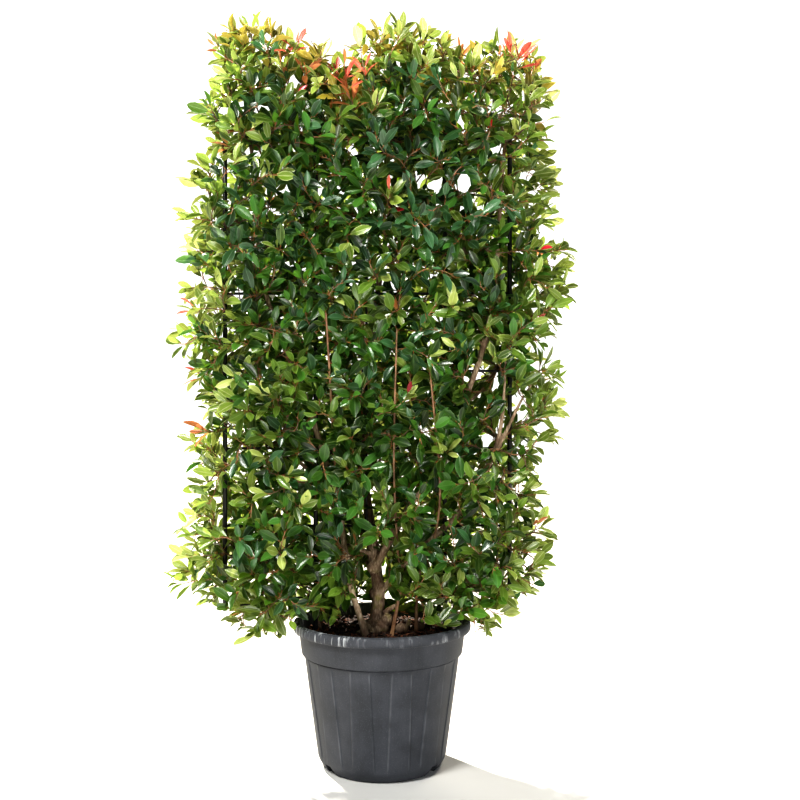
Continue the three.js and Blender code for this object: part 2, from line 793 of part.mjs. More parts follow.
// ---------------------------------------------------------------- the whole plant
const finish = {
  leaf: { color: 0x3d6b2a, roughness: 0.42, metalness: 0 },
  bark: { color: 0x7a6453, roughness: 0.85, metalness: 0 },
  shoot: { color: 0x9a5c40, roughness: 0.6, metalness: 0 },
  plastic: { color: 0x4b4d50, roughness: 0.55, metalness: 0 },
  compost: { color: 0x2e2119, roughness: 1, metalness: 0 },
  steel: { color: 0x17181a, roughness: 0.45, metalness: 0 },
};
const photinia = new THREE.Group();
const addGroup = () => {
  const group = new THREE.Group();
  photinia.add(group);
  return group;
};
function add(group, name, mesh, kind) {
  mesh.name = name;
  mesh.material = new THREE.MeshStandardMaterial(finish[kind]);
  group.add(mesh);
}

const potGroup = addGroup();
add(potGroup, "pot", new THREE.Mesh(geometryOf(potSolid())), "plastic");
add(potGroup, "compost", new THREE.Mesh(geometryOf(compostSolid())), "compost");

const frameGroup = addGroup();
for (const [name, rod] of Object.entries(rods)) add(frameGroup, name, rodMesh(rod), "steel");

const stemGroup = addGroup();
for (const name of Object.keys(limbs)) {
  const kind = name.startsWith("shoot") ? "shoot" : "bark";
  add(stemGroup, name, new THREE.Mesh(geometryOf(limbSolid(name))), kind);
}

const crownGroup = addGroup();
for (const mass of masses) add(crownGroup, mass.name, new THREE.Mesh(massGeometry(mass)), "leaf");

export default photinia;
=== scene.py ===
# A photinia trained flat as a screen, in its nursery pot: the looks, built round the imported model.
# Metres, +Z up, -Y is the front.
import json
from math import atan2, cos, degrees, hypot, pi, radians, sin

import bpy
import numpy as np
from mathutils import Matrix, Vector, noise

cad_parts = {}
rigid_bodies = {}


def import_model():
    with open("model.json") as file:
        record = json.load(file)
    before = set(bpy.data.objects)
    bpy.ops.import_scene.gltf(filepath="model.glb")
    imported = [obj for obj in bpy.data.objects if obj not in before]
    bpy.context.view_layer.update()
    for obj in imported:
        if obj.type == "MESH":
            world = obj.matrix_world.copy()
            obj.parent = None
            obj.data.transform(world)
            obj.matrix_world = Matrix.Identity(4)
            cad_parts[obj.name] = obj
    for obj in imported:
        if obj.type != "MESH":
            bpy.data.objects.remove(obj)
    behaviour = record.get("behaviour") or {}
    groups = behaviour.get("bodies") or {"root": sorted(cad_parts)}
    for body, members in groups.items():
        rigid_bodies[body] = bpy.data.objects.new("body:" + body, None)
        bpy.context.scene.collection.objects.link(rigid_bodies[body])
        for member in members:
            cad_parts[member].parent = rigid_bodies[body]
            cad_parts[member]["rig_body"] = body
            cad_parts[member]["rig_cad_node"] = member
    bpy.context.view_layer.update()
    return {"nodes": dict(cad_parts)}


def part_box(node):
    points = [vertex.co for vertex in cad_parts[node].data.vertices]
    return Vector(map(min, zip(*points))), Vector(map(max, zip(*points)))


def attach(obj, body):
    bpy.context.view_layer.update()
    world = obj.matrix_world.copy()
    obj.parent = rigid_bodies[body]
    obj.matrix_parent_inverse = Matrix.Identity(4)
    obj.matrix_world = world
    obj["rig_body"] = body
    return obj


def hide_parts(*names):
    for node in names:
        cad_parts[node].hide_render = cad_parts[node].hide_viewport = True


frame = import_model()
nodeNames = sorted(frame["nodes"])
foliageNodes = [name for name in nodeNames if name.startswith("foliage")]
frontShoots = ("shoot_left", "shoot_middle", "shoot_right")
mm = 0.001


# small helpers: hex colours, nodes, and single steps of modelling
def linearOf(hexColour):
    values = [int(hexColour[i:i + 2], 16) / 255 for i in (1, 3, 5)]
    return tuple(v / 12.92 if v <= 0.04045 else ((v + 0.055) / 1.055) ** 2.4 for v in values) + (1,)


def addNode(tree, kind, settings=None, inputs=None, stops=None):
    node = tree.nodes.new(kind)
    for name, value in (settings or {}).items():
        setattr(node, name, value)
    for name, value in (inputs or {}).items():
        if isinstance(value, bpy.types.NodeSocket):
            tree.links.new(value, node.inputs[name])
        else:
            node.inputs[name].default_value = value
    for k, (place, colour) in enumerate(stops or []):
        ramp = node.color_ramp.elements
        stop = ramp[k] if k < 2 else ramp.new(place)
        stop.position = place
        stop.color = colour
    return node


def newMaterial(name):
    material = bpy.data.materials.new(name)
    material.use_nodes = True
    material.node_tree.nodes.clear()
    return material, material.node_tree


def selectOnly(piece):
    if bpy.context.object and bpy.context.object.mode != "OBJECT":
        bpy.ops.object.mode_set(mode="OBJECT")
    bpy.ops.object.select_all(action="DESELECT")
    piece.select_set(True)
    bpy.context.view_layer.objects.active = piece


def added(name):  # the object that an operator has just added
    piece = bpy.context.object
    piece.name = name
    piece.data.name = name
    return piece


def applyPlace(piece):
    selectOnly(piece)
    bpy.ops.object.transform_apply(location=True, rotation=True, scale=True)


def applyModifier(piece, kind, **settings):
    selectOnly(piece)
    modifier = piece.modifiers.new(kind.lower(), kind)
    for name, value in settings.items():
        setattr(modifier, name, value)
    bpy.ops.object.modifier_apply(modifier=modifier.name)


def joined(pieces, name):
    selectOnly(pieces[0])
    for piece in pieces:
        piece.select_set(True)
    bpy.ops.object.join()
    return added(name)


def smoothBy(piece, angle):
    selectOnly(piece)
    bpy.ops.object.shade_smooth_by_angle(angle=radians(angle))


def pieceFrom(name, points, faces, materials=()):  # a joined mesh from arrays
    mesh = bpy.data.meshes.new(name)
    mesh.from_pydata([tuple(p) for p in points], [], faces)
    mesh.update()
    piece = bpy.data.objects.new(name, mesh)
    bpy.context.collection.objects.link(piece)
    for material in materials:
        mesh.materials.append(material)
    return piece


def meshPoints(piece):
    points = np.zeros(len(piece.data.vertices) * 3)
    piece.data.vertices.foreach_get("co", points)
    return points.reshape(-1, 3)


def setMeshPoints(piece, points):
    piece.data.vertices.foreach_set("co", np.asarray(points, float).ravel())
    piece.data.update()


def finished(piece, slot, *nodes):
    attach(piece, "root")
    if nodes:
        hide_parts(*nodes)
    return piece


def unit(vectors):
    return vectors / np.maximum(np.linalg.norm(vectors, axis=-1, keepdims=True), 1e-9)


# stage, light and camera
stage = {
    "floorSize": 30,
    "floorColours": ("#bcbbb9", "#c4c4c2"),
    "floorGrain": 3,
    "floorRoughness": 0.9,
    "backdropColour": "#ffffff",
    "skyColour": "#f4f8ff",
    "skyStrength": 0.07,
    "sunDirection": (0.42, -0.64, -0.74),  # from the back left, high
    "sunStrength": 10.5,
    "sunAngle": 2,
    "sunPlace": (-3, 3, 5),
    "sunColour": "#fff8ec",
    "softboxes": [  # place, size, power and colour
        ((-1.5, -2.2, 3.4), 1.1, 160, "#fdfcf8"),
        ((2.6, -2.4, 2.6), 1.6, 13, "#eaf2ff"),
        ((1.4, -2.9, 0.5), 1.2, 46, "#fdfdfb"),
        ((1.9, 2.2, 3.4), 1.0, 80, "#fff6e6"),
    ],
    "softboxAim": (0, 0, 1.1),
    "exposure": 0.11,
    "viewPoint": (0.048, -2.68, 0.951),
    "lens": 45,
    "sensor": 36,
    "shiftUp": 0.00875,  # the horizon lies a little below the middle
}


def buildStage():
    selectOnly(next(iter(frame["nodes"].values())))
    bpy.ops.mesh.primitive_plane_add(size=stage["floorSize"], location=(0, 0, 0))
    floorPiece = added("floor")
    material, tree = newMaterial("studioFloorPaint")  # matt white paint: an even, pale ground
    place = addNode(tree, "ShaderNodeTexCoord").outputs["Object"]
    grain = addNode(tree, "ShaderNodeTexNoise", inputs={
        "Vector": place, "Scale": stage["floorGrain"], "Detail": 3})
    paint = addNode(tree, "ShaderNodeValToRGB", inputs={"Fac": grain.outputs["Fac"]}, stops=[
        (0.3, linearOf(stage["floorColours"][0])), (0.7, linearOf(stage["floorColours"][1]))])
    shader = addNode(tree, "ShaderNodeBsdfPrincipled",
                     inputs={"Base Color": paint.outputs["Color"], "Roughness": stage["floorRoughness"]})
    addNode(tree, "ShaderNodeOutputMaterial", inputs={"Surface": shader.outputs["BSDF"]})
    floorPiece.data.materials.append(material)

    world = bpy.data.worlds.new("studioWorld")
    world.use_nodes = True
    world.node_tree.nodes.clear()
    tree = world.node_tree
    sky = addNode(tree, "ShaderNodeBackground", inputs={
        "Color": linearOf(stage["skyColour"]), "Strength": stage["skyStrength"]})
    backdrop = addNode(tree, "ShaderNodeBackground", inputs={"Color": linearOf(stage["backdropColour"])})
    seen = addNode(tree, "ShaderNodeLightPath").outputs["Is Camera Ray"]
    both = addNode(tree, "ShaderNodeMixShader", inputs={
        0: seen, 1: sky.outputs["Background"], 2: backdrop.outputs["Background"]})
    addNode(tree, "ShaderNodeOutputWorld", inputs={"Surface": both.outputs["Shader"]})
    bpy.context.scene.world = world

    bpy.ops.object.light_add(type="SUN", location=stage["sunPlace"])
    sun = bpy.context.object
    sun.name = "sun"
    sun.rotation_euler = Vector(stage["sunDirection"]).to_track_quat("-Z", "Y").to_euler()
    sun.data.energy = stage["sunStrength"]
    sun.data.angle = radians(stage["sunAngle"])
    sun.data.color = linearOf(stage["sunColour"])[:3]

    for place, size, power, colour in stage["softboxes"]:
        bpy.ops.object.light_add(type="AREA", location=place)
        softbox = bpy.context.object
        softbox.name = "softbox"
        aim = Vector(stage["softboxAim"]) - Vector(place)
        softbox.rotation_euler = aim.to_track_quat("-Z", "Y").to_euler()
        softbox.data.size = size
        softbox.data.energy = power
        softbox.data.color = linearOf(colour)[:3]

    bpy.ops.object.camera_add(location=stage["viewPoint"], rotation=(radians(90), 0, 0))
    camera = bpy.context.object
    camera.name = "camera"
    camera.data.lens = stage["lens"]
    camera.data.sensor_width = stage["sensor"]
    camera.data.shift_y = stage["shiftUp"]
    bpy.context.scene.camera = camera
    bpy.context.scene.view_settings.view_transform = "Standard"
    bpy.context.scene.view_settings.look = "High Contrast"
    bpy.context.scene.view_settings.exposure = stage["exposure"]


buildStage()
print("stage, light and camera are set")


# materials, with each pattern at its real size
plasticLook = {
    "grain": ("#3a3c40", "#404247", "#46484d"),  # low, between and high in the moulded grain
    "ribSheenAndDust": "#6c6f74",  # a painted highlight along the ribs, and the colour of specks of dust
    "scraped": "#a4a7aa",
    "scuffWidth": 10 * mm,
    "scuffSquash": 0.06,
    "scuffShare": 0.35,
    "cloudSize": 70 * mm,
    "speckSize": 2.2 * mm,
    "scrapeWidth": 9 * mm,
    "rim": (356 * mm, 364 * mm),  # the height from which there are scrapes
    "scrapedSide": (-40 * mm, -100 * mm),  # and the x towards which there are most
    "grainSize": 1.4 * mm,  # drawn coarser than it is, to show
    "grainDepth": 0.5 * mm,
    "roughness": (0.50, 0.66),
    "gloss": 0.18,
}


def mouldedPolypropylene():
    # Moulded polypropylene: matt charcoal, an even grain hazed in upright scuffs, specks of dust, a painted
    # highlight along the ribs, bright scrapes on the rim.
    material, tree = newMaterial("mouldedPolypropylene")
    place = addNode(tree, "ShaderNodeTexCoord").outputs["Object"]
    upright = addNode(tree, "ShaderNodeMapping", inputs={
        "Vector": place, "Scale": (1, 1, plasticLook["scuffSquash"])})
    scuffs = addNode(tree, "ShaderNodeTexNoise", inputs={
        "Vector": upright.outputs["Vector"], "Scale": 1 / plasticLook["scuffWidth"], "Detail": 6,
        "Roughness": 0.65})
    clouds = addNode(tree, "ShaderNodeTexNoise", inputs={
        "Vector": place, "Scale": 1 / plasticLook["cloudSize"], "Detail": 7})
    both = addNode(tree, "ShaderNodeMath", {"operation": "MULTIPLY_ADD"}, {
        0: scuffs.outputs["Fac"], 1: plasticLook["scuffShare"], 2: clouds.outputs["Fac"]})
    low, between, high = (linearOf(colour) for colour in plasticLook["grain"])
    body = addNode(tree, "ShaderNodeValToRGB", inputs={"Fac": both.outputs["Value"]}, stops=[
        (0.50, low), (0.86, high), (0.70, between)])
    specks = addNode(tree, "ShaderNodeTexNoise", inputs={
        "Vector": place, "Scale": 1 / plasticLook["speckSize"], "Detail": 3})
    dusty = addNode(tree, "ShaderNodeMapRange", inputs={
        "Value": specks.outputs["Fac"], "From Min": 0.58, "From Max": 0.74, "To Max": 0.35})
    # painted highlight: the edges of the ribs are drawn paler, in patches
    ridge = addNode(tree, "ShaderNodeAttribute", {"attribute_name": "ridge"})
    ribSheenPatches = addNode(tree, "ShaderNodeMapRange", inputs={
        "Value": clouds.outputs["Fac"], "From Min": 0.40, "From Max": 0.66, "To Max": 0.55})
    ribSheenAndDust = addNode(tree, "ShaderNodeMath", {"operation": "MULTIPLY"}, {
        0: ridge.outputs["Fac"], 1: ribSheenPatches.outputs["Result"]})
    pale = addNode(tree, "ShaderNodeMath", {"operation": "MAXIMUM"}, {
        0: ribSheenAndDust.outputs["Value"], 1: dusty.outputs["Result"]})
    withDustAndSheen = addNode(tree, "ShaderNodeMix", {"data_type": "RGBA"}, {
        0: pale.outputs["Value"], 6: body.outputs["Color"], 7: linearOf(plasticLook["ribSheenAndDust"])})
    height = addNode(tree, "ShaderNodeSeparateXYZ", inputs={"Vector": place})
    onRim = addNode(tree, "ShaderNodeMapRange", inputs={
        "Value": height.outputs["Z"], "From Min": plasticLook["rim"][0], "From Max": plasticLook["rim"][1]})
    scrapes = addNode(tree, "ShaderNodeTexNoise", inputs={
        "Vector": upright.outputs["Vector"], "Scale": 1 / plasticLook["scrapeWidth"], "Detail": 4,
        "Roughness": 0.55})
    scraped = addNode(tree, "ShaderNodeMapRange", inputs={
        "Value": scrapes.outputs["Fac"], "From Min": 0.52, "From Max": 0.66})
    some = addNode(tree, "ShaderNodeMapRange", inputs={
        "Value": clouds.outputs["Fac"], "From Min": 0.48, "From Max": 0.62, "To Max": 0.6})
    sideFrom, sideTo = plasticLook["scrapedSide"]
    most = addNode(tree, "ShaderNodeMapRange", inputs={
        "Value": height.outputs["X"], "From Min": sideFrom, "From Max": sideTo})
    where = addNode(tree, "ShaderNodeMath", {"operation": "MAXIMUM"}, {
        0: some.outputs["Result"], 1: most.outputs["Result"]})
    mark = addNode(tree, "ShaderNodeMath", {"operation": "MULTIPLY"}, {
        0: scraped.outputs["Result"], 1: onRim.outputs["Result"]})
    marks = addNode(tree, "ShaderNodeMath", {"operation": "MULTIPLY"}, {
        0: mark.outputs["Value"], 1: where.outputs["Value"]})
    colour = addNode(tree, "ShaderNodeMix", {"data_type": "RGBA"}, {
        0: marks.outputs["Value"], 6: withDustAndSheen.outputs[2], 7: linearOf(plasticLook["scraped"])})
    smoothest, roughest = plasticLook["roughness"]
    rough = addNode(tree, "ShaderNodeMapRange", inputs={
        "Value": both.outputs["Value"], "From Min": 0.4, "From Max": 1.0,
        "To Min": smoothest, "To Max": roughest})
    grain = addNode(tree, "ShaderNodeTexNoise", inputs={
        "Vector": place, "Scale": 1 / plasticLook["grainSize"], "Detail": 2})
    bump = addNode(tree, "ShaderNodeBump", inputs={
        "Height": grain.outputs["Fac"], "Strength": 0.22, "Distance": plasticLook["grainDepth"]})
    shader = addNode(tree, "ShaderNodeBsdfPrincipled", inputs={
        "Base Color": colour.outputs[2], "Roughness": rough.outputs["Result"], "IOR": 1.49,
        "Specular IOR Level": plasticLook["gloss"], "Normal": bump.outputs["Normal"]})
    addNode(tree, "ShaderNodeOutputMaterial", inputs={"Surface": shader.outputs["BSDF"]})
    return material


def barkCompost(name, dark, light, grain):
    # Damp composted bark: brown on top of the crumbs, with a painted shade near black between them.
    material, tree = newMaterial(name)
    place = addNode(tree, "ShaderNodeTexCoord").outputs["Object"]
    crumbs = addNode(tree, "ShaderNodeTexVoronoi", inputs={"Vector": place, "Scale": 1 / grain})
    fibres = addNode(tree, "ShaderNodeTexNoise", inputs={"Vector": place, "Scale": 2 / grain, "Detail": 6})
    # painted shade: darker towards the crumbs' edges, in the gaps between them
    blend = addNode(tree, "ShaderNodeMath", {"operation": "MULTIPLY_ADD"}, {
        0: crumbs.outputs["Distance"], 1: -0.5, 2: fibres.outputs["Fac"]})
    colour = addNode(tree, "ShaderNodeValToRGB", inputs={"Fac": blend.outputs["Value"]}, stops=[
        (0.15, linearOf(dark)), (0.62, linearOf(light))])
    bump = addNode(tree, "ShaderNodeBump", inputs={
        "Height": blend.outputs["Value"], "Strength": 0.7, "Distance": 2 * mm})
    shader = addNode(tree, "ShaderNodeBsdfPrincipled", inputs={
        "Base Color": colour.outputs["Color"], "Roughness": 0.86, "Normal": bump.outputs["Normal"]})
    addNode(tree, "ShaderNodeOutputMaterial", inputs={"Surface": shader.outputs["BSDF"]})
    return material


barkLook = {
    "old": ("#40332a", "#766452", "#a6937e"),  # in the fissures, between and on the ridges
    "young": ("#85735f", "#b4a088", "#dccbb4"),
    "warm": "#765646",
    "algae": "#8a8648",
    "footDark": "#3c2c20",
    "plateWidth": 7 * mm,
    "fibreWidth": 4 * mm,
    "squash": 0.28,
    "patchSize": 35 * mm,
    "filmSize": 28 * mm,
    "algaeHeights": (640 * mm, 420 * mm),  # none above the first, most below the second
    # the bark is darker towards the foot, from the first height down to the second
    "footDarkHeights": (430 * mm, 360 * mm),
    "depth": 1.2 * mm,
    "roughness": 0.82,
}


def oldBark():
    # Photinia bark: grey-brown with a warm tint, in fine upright fissures, and green algae low down.
    material, tree = newMaterial("photiniaBark")
    place = addNode(tree, "ShaderNodeTexCoord").outputs["Object"]
    upright = addNode(tree, "ShaderNodeMapping", inputs={
        "Vector": place, "Scale": (1, 1, barkLook["squash"])})
    plates = addNode(tree, "ShaderNodeTexVoronoi", {"feature": "DISTANCE_TO_EDGE"}, {
        "Vector": upright.outputs["Vector"], "Scale": 1 / barkLook["plateWidth"]})
    fibres = addNode(tree, "ShaderNodeTexNoise", inputs={
        "Vector": upright.outputs["Vector"], "Scale": 1 / barkLook["fibreWidth"], "Detail": 8,
        "Roughness": 0.7})
    patches = addNode(tree, "ShaderNodeTexNoise", inputs={
        "Vector": place, "Scale": 1 / barkLook["patchSize"], "Detail": 4})
    relief = addNode(tree, "ShaderNodeMath", {"operation": "MULTIPLY_ADD"}, {
        0: plates.outputs["Distance"], 1: 0.8, 2: fibres.outputs["Fac"]})
    old, young = (addNode(tree, "ShaderNodeValToRGB", inputs={"Fac": relief.outputs["Value"]}, stops=[
        (0.36, linearOf(fissure)), (0.92, linearOf(ridge)), (0.60, linearOf(between))])
        for fissure, between, ridge in (barkLook["old"], barkLook["young"]))
    youth = addNode(tree, "ShaderNodeAttribute", {"attribute_name": "youth"})
    aged = addNode(tree, "ShaderNodeMix", {"data_type": "RGBA"}, {
        0: youth.outputs["Fac"], 6: old.outputs["Color"], 7: young.outputs["Color"]})
    warm = addNode(tree, "ShaderNodeMapRange", inputs={
        "Value": patches.outputs["Fac"], "From Min": 0.45, "From Max": 0.65, "To Max": 0.5})
    tinted = addNode(tree, "ShaderNodeMix", {"data_type": "RGBA"}, {
        0: warm.outputs["Result"], 6: aged.outputs[2], 7: linearOf(barkLook["warm"])})
    height = addNode(tree, "ShaderNodeSeparateXYZ", inputs={"Vector": place})
    cleanFrom, greenFrom = barkLook["algaeHeights"]
    low = addNode(tree, "ShaderNodeMapRange", inputs={
        "Value": height.outputs["Z"], "From Min": cleanFrom, "From Max": greenFrom})
    film = addNode(tree, "ShaderNodeTexNoise", inputs={
        "Vector": place, "Scale": 1 / barkLook["filmSize"], "Detail": 5})
    mossy = addNode(tree, "ShaderNodeMapRange", inputs={
        "Value": film.outputs["Fac"], "From Min": 0.52, "From Max": 0.68, "To Max": 0.6})
    mask = addNode(tree, "ShaderNodeMath", {"operation": "MULTIPLY"}, {
        0: mossy.outputs["Result"], 1: low.outputs["Result"]})
    colour = addNode(tree, "ShaderNodeMix", {"data_type": "RGBA"}, {
        0: mask.outputs["Value"], 6: tinted.outputs[2], 7: linearOf(barkLook["algae"])})
    # darker towards the foot of the trunk, just above the compost
    darkeningFrom, darkestFrom = barkLook["footDarkHeights"]
    footDark = addNode(tree, "ShaderNodeMapRange", inputs={
        "Value": height.outputs["Z"], "From Min": darkeningFrom, "From Max": darkestFrom, "To Max": 0.62})
    footDarkened = addNode(tree, "ShaderNodeMix", {"data_type": "RGBA"}, {
        0: footDark.outputs["Result"], 6: colour.outputs[2], 7: linearOf(barkLook["footDark"])})
    bump = addNode(tree, "ShaderNodeBump", inputs={
        "Height": relief.outputs["Value"], "Strength": 0.6, "Distance": barkLook["depth"]})
    shader = addNode(tree, "ShaderNodeBsdfPrincipled", inputs={
        "Base Color": footDarkened.outputs[2], "Roughness": barkLook["roughness"],
        "Normal": bump.outputs["Normal"]})
    addNode(tree, "ShaderNodeOutputMaterial", inputs={"Surface": shader.outputs["BSDF"]})
    return material


youngBarkLook = {
    "toneSize": 30 * mm,
    "poreGap": 4.5 * mm,
    "pore": "#a8886c",
    "depth": 0.4 * mm,
    "roughness": 0.5,
}


def youngBark(name, dark, light):
    # First- and second-year bark: smooth and a little waxy, with small pale breathing pores.
    material, tree = newMaterial(name)
    place = addNode(tree, "ShaderNodeTexCoord").outputs["Object"]
    shade = addNode(tree, "ShaderNodeTexNoise", inputs={
        "Vector": place, "Scale": 1 / youngBarkLook["toneSize"], "Detail": 4})
    pores = addNode(tree, "ShaderNodeTexVoronoi", inputs={
        "Vector": place, "Scale": 1 / youngBarkLook["poreGap"]})
    skin = addNode(tree, "ShaderNodeValToRGB", inputs={"Fac": shade.outputs["Fac"]}, stops=[
        (0.35, linearOf(dark)), (0.66, linearOf(light))])
    dots = addNode(tree, "ShaderNodeMapRange", inputs={
        "Value": pores.outputs["Distance"], "From Min": 0.22, "From Max": 0.12, "To Max": 0.4})
    colour = addNode(tree, "ShaderNodeMix", {"data_type": "RGBA"}, {
        0: dots.outputs["Result"], 6: skin.outputs["Color"], 7: linearOf(youngBarkLook["pore"])})
    bump = addNode(tree, "ShaderNodeBump", inputs={
        "Height": dots.outputs["Result"], "Strength": 0.3, "Distance": youngBarkLook["depth"]})
    shader = addNode(tree, "ShaderNodeBsdfPrincipled", inputs={
        "Base Color": colour.outputs[2], "Roughness": youngBarkLook["roughness"],
        "Normal": bump.outputs["Normal"]})
    addNode(tree, "ShaderNodeOutputMaterial", inputs={"Surface": shader.outputs["BSDF"]})
    return material


coatLook = {
    "clean": "#101113",
    "dusty": "#2a2a2b",
    "dustSize": 20 * mm,
    "rippleSize": 1.6 * mm,
    "rippleDepth": 0.3 * mm,
    "roughness": (0.32, 0.55),
}


def powderCoat():
    # Satin black powder coat on steel: the slight ripple of baked powder, dulled by dust on top.
    material, tree = newMaterial("satinPowderCoat")
    place = addNode(tree, "ShaderNodeTexCoord").outputs["Object"]
    dust = addNode(tree, "ShaderNodeTexNoise", inputs={
        "Vector": place, "Scale": 1 / coatLook["dustSize"], "Detail": 5})
    colour = addNode(tree, "ShaderNodeValToRGB", inputs={"Fac": dust.outputs["Fac"]}, stops=[
        (0.4, linearOf(coatLook["clean"])), (0.72, linearOf(coatLook["dusty"]))])
    smoothest, roughest = coatLook["roughness"]
    rough = addNode(tree, "ShaderNodeMapRange", inputs={
        "Value": dust.outputs["Fac"], "From Min": 0.3, "From Max": 0.7,
        "To Min": smoothest, "To Max": roughest})
    ripple = addNode(tree, "ShaderNodeTexNoise", inputs={
        "Vector": place, "Scale": 1 / coatLook["rippleSize"], "Detail": 2})
    bump = addNode(tree, "ShaderNodeBump", inputs={
        "Height": ripple.outputs["Fac"], "Strength": 0.15, "Distance": coatLook["rippleDepth"]})
    shader = addNode(tree, "ShaderNodeBsdfPrincipled", inputs={
        "Base Color": colour.outputs["Color"], "Roughness": rough.outputs["Result"],
        "Normal": bump.outputs["Normal"]})
    addNode(tree, "ShaderNodeOutputMaterial", inputs={"Surface": shader.outputs["BSDF"]})
    return material


# the blade in shade and in light, the colour of its midrib, veins and margin, where on the margin it is a
# painted highlight, the light that comes through it and that light's share
leafTints = {
    # Deep, Cool, Mid, Fresh and Ochre are dealt to shoots by how lit they are, a painted light; the
    # blue-green of Cool is a painted shade, and Pale leaves are young leaves in part and painted patches of
    # sunlight in part
    "Cool": {"dark": "#0a2010", "light": "#426a44", "rim": "#7c9a7a", "through": "#78a028", "share": 0.20},
    "Deep": {"dark": "#0a1e08", "light": "#447230", "rim": "#7c9c5c", "through": "#88b020", "share": 0.24},
    "Mid": {"dark": "#163408", "light": "#688634", "rim": "#acc07c", "through": "#b0c460", "share": 0.30},
    "Fresh": {"dark": "#284408", "light": "#8ca048", "rim": "#d4d8a8", "through": "#acb464", "share": 0.22},
    "Ochre": {"dark": "#4a480c", "light": "#aa9c3c", "rim": "#d8cc90", "through": "#c0b060", "share": 0.20},
    "Pale": {"dark": "#607824", "light": "#c0cc78", "rim": "#e8ecc4", "through": "#ccd088", "share": 0.26},
    "Amber": {"dark": "#744224", "light": "#b87c50", "rim": "#cc9c6c", "through": "#e09868", "share": 0.34},
    "Coral": {"dark": "#84302c", "light": "#cc6c5c", "rim": "#dc9080", "through": "#f07c68", "share": 0.38},
    "Red": {"dark": "#7c1020", "light": "#b82838", "rim": "#cc4854", "through": "#e83c48", "share": 0.38},
}


leafLook = {
    "rib": (0.05, 0.015),  # shares of the blade's width
    "veinGap": 0.045,  # shares of its length
    "veinWidth": 0.008,
    "veinStrength": 0.35,
    # a painted highlight along the blade's edges, between these shares of its width from the midrib
    "margin": (0.40, 0.49),
    "paleShare": 0.45,
    "mottleSize": 20 * mm,
    "mottleShare": 0.5,
    "veinDepth": 0.6 * mm,
    "roughness": 0.32,
    "waxWeight": 0.3,
    "waxRoughness": 0.18,
}


def leafSkin(tint):
    # A glossy leaf: waxy skin, pale midrib and faint side veins, a painted highlight along the margin, aglow
    # where light comes through.
    values = leafTints[tint]
    material, tree = newMaterial("leaf" + tint)
    place = addNode(tree, "ShaderNodeTexCoord").outputs["Object"]
    blade = addNode(tree, "ShaderNodeUVMap", {"uv_map": "blade"})
    parts = addNode(tree, "ShaderNodeSeparateXYZ", inputs={"Vector": blade.outputs["UV"]})
    fromRib = addNode(tree, "ShaderNodeMath", {"operation": "SUBTRACT"}, {0: parts.outputs["X"], 1: 0.5})
    across = addNode(tree, "ShaderNodeMath", {"operation": "ABSOLUTE"}, {0: fromRib.outputs["Value"]})
    rib = addNode(tree, "ShaderNodeMapRange", inputs={
        "Value": across.outputs["Value"], "From Min": leafLook["rib"][0], "From Max": leafLook["rib"][1]})
    slant = addNode(tree, "ShaderNodeMath", {"operation": "MULTIPLY_ADD"}, {
        0: across.outputs["Value"], 1: -0.5, 2: parts.outputs["Y"]})
    veins = addNode(tree, "ShaderNodeMath", {"operation": "PINGPONG"}, {
        0: slant.outputs["Value"], 1: leafLook["veinGap"]})
    vein = addNode(tree, "ShaderNodeMapRange", inputs={
        "Value": veins.outputs["Value"], "From Min": leafLook["veinWidth"], "From Max": 0.0,
        "To Max": leafLook["veinStrength"]})
    lines = addNode(tree, "ShaderNodeMath", {"operation": "MAXIMUM"}, {
        0: rib.outputs["Result"], 1: vein.outputs["Result"]})
    # painted highlight: the edges of the blade are drawn paler, in the rim colour
    inner, outer = leafLook["margin"]
    margin = addNode(tree, "ShaderNodeMapRange", inputs={
        "Value": across.outputs["Value"], "From Min": inner, "From Max": outer})
    bright = addNode(tree, "ShaderNodeMath", {"operation": "MAXIMUM"}, {
        0: lines.outputs["Value"], 1: margin.outputs["Result"]})
    tone = addNode(tree, "ShaderNodeAttribute", {"attribute_name": "tone"})
    mottle = addNode(tree, "ShaderNodeTexNoise", inputs={
        "Vector": place, "Scale": 1 / leafLook["mottleSize"], "Detail": 3})
    mixed = addNode(tree, "ShaderNodeMath", {"operation": "MULTIPLY_ADD", "use_clamp": True}, {
        0: mottle.outputs["Fac"], 1: leafLook["mottleShare"], 2: tone.outputs["Fac"]})
    shade = addNode(tree, "ShaderNodeValToRGB", inputs={"Fac": mixed.outputs["Value"]}, stops=[
        (0.15, linearOf(values["dark"])), (1.0, linearOf(values["light"]))])
    pale = addNode(tree, "ShaderNodeMath", {"operation": "MULTIPLY"}, {
        0: bright.outputs["Value"], 1: leafLook["paleShare"]})
    colour = addNode(tree, "ShaderNodeMix", {"data_type": "RGBA"}, {
        0: pale.outputs["Value"], 6: shade.outputs["Color"], 7: linearOf(values["rim"])})
    bump = addNode(tree, "ShaderNodeBump", {"invert": True}, {
        "Height": lines.outputs["Value"], "Strength": 0.25, "Distance": leafLook["veinDepth"]})
    skin = addNode(tree, "ShaderNodeBsdfPrincipled", inputs={
        "Base Color": colour.outputs[2], "Roughness": leafLook["roughness"], "IOR": 1.5,
        "Coat Weight": leafLook["waxWeight"], "Coat Roughness": leafLook["waxRoughness"],
        "Normal": bump.outputs["Normal"]})
    through = addNode(tree, "ShaderNodeBsdfTranslucent", inputs={"Color": linearOf(values["through"])})
    both = addNode(tree, "ShaderNodeMixShader", inputs={
        0: values["share"], 1: skin.outputs["BSDF"], 2: through.outputs["BSDF"]})
    addNode(tree, "ShaderNodeOutputMaterial", inputs={"Surface": both.outputs["Shader"]})
    return material


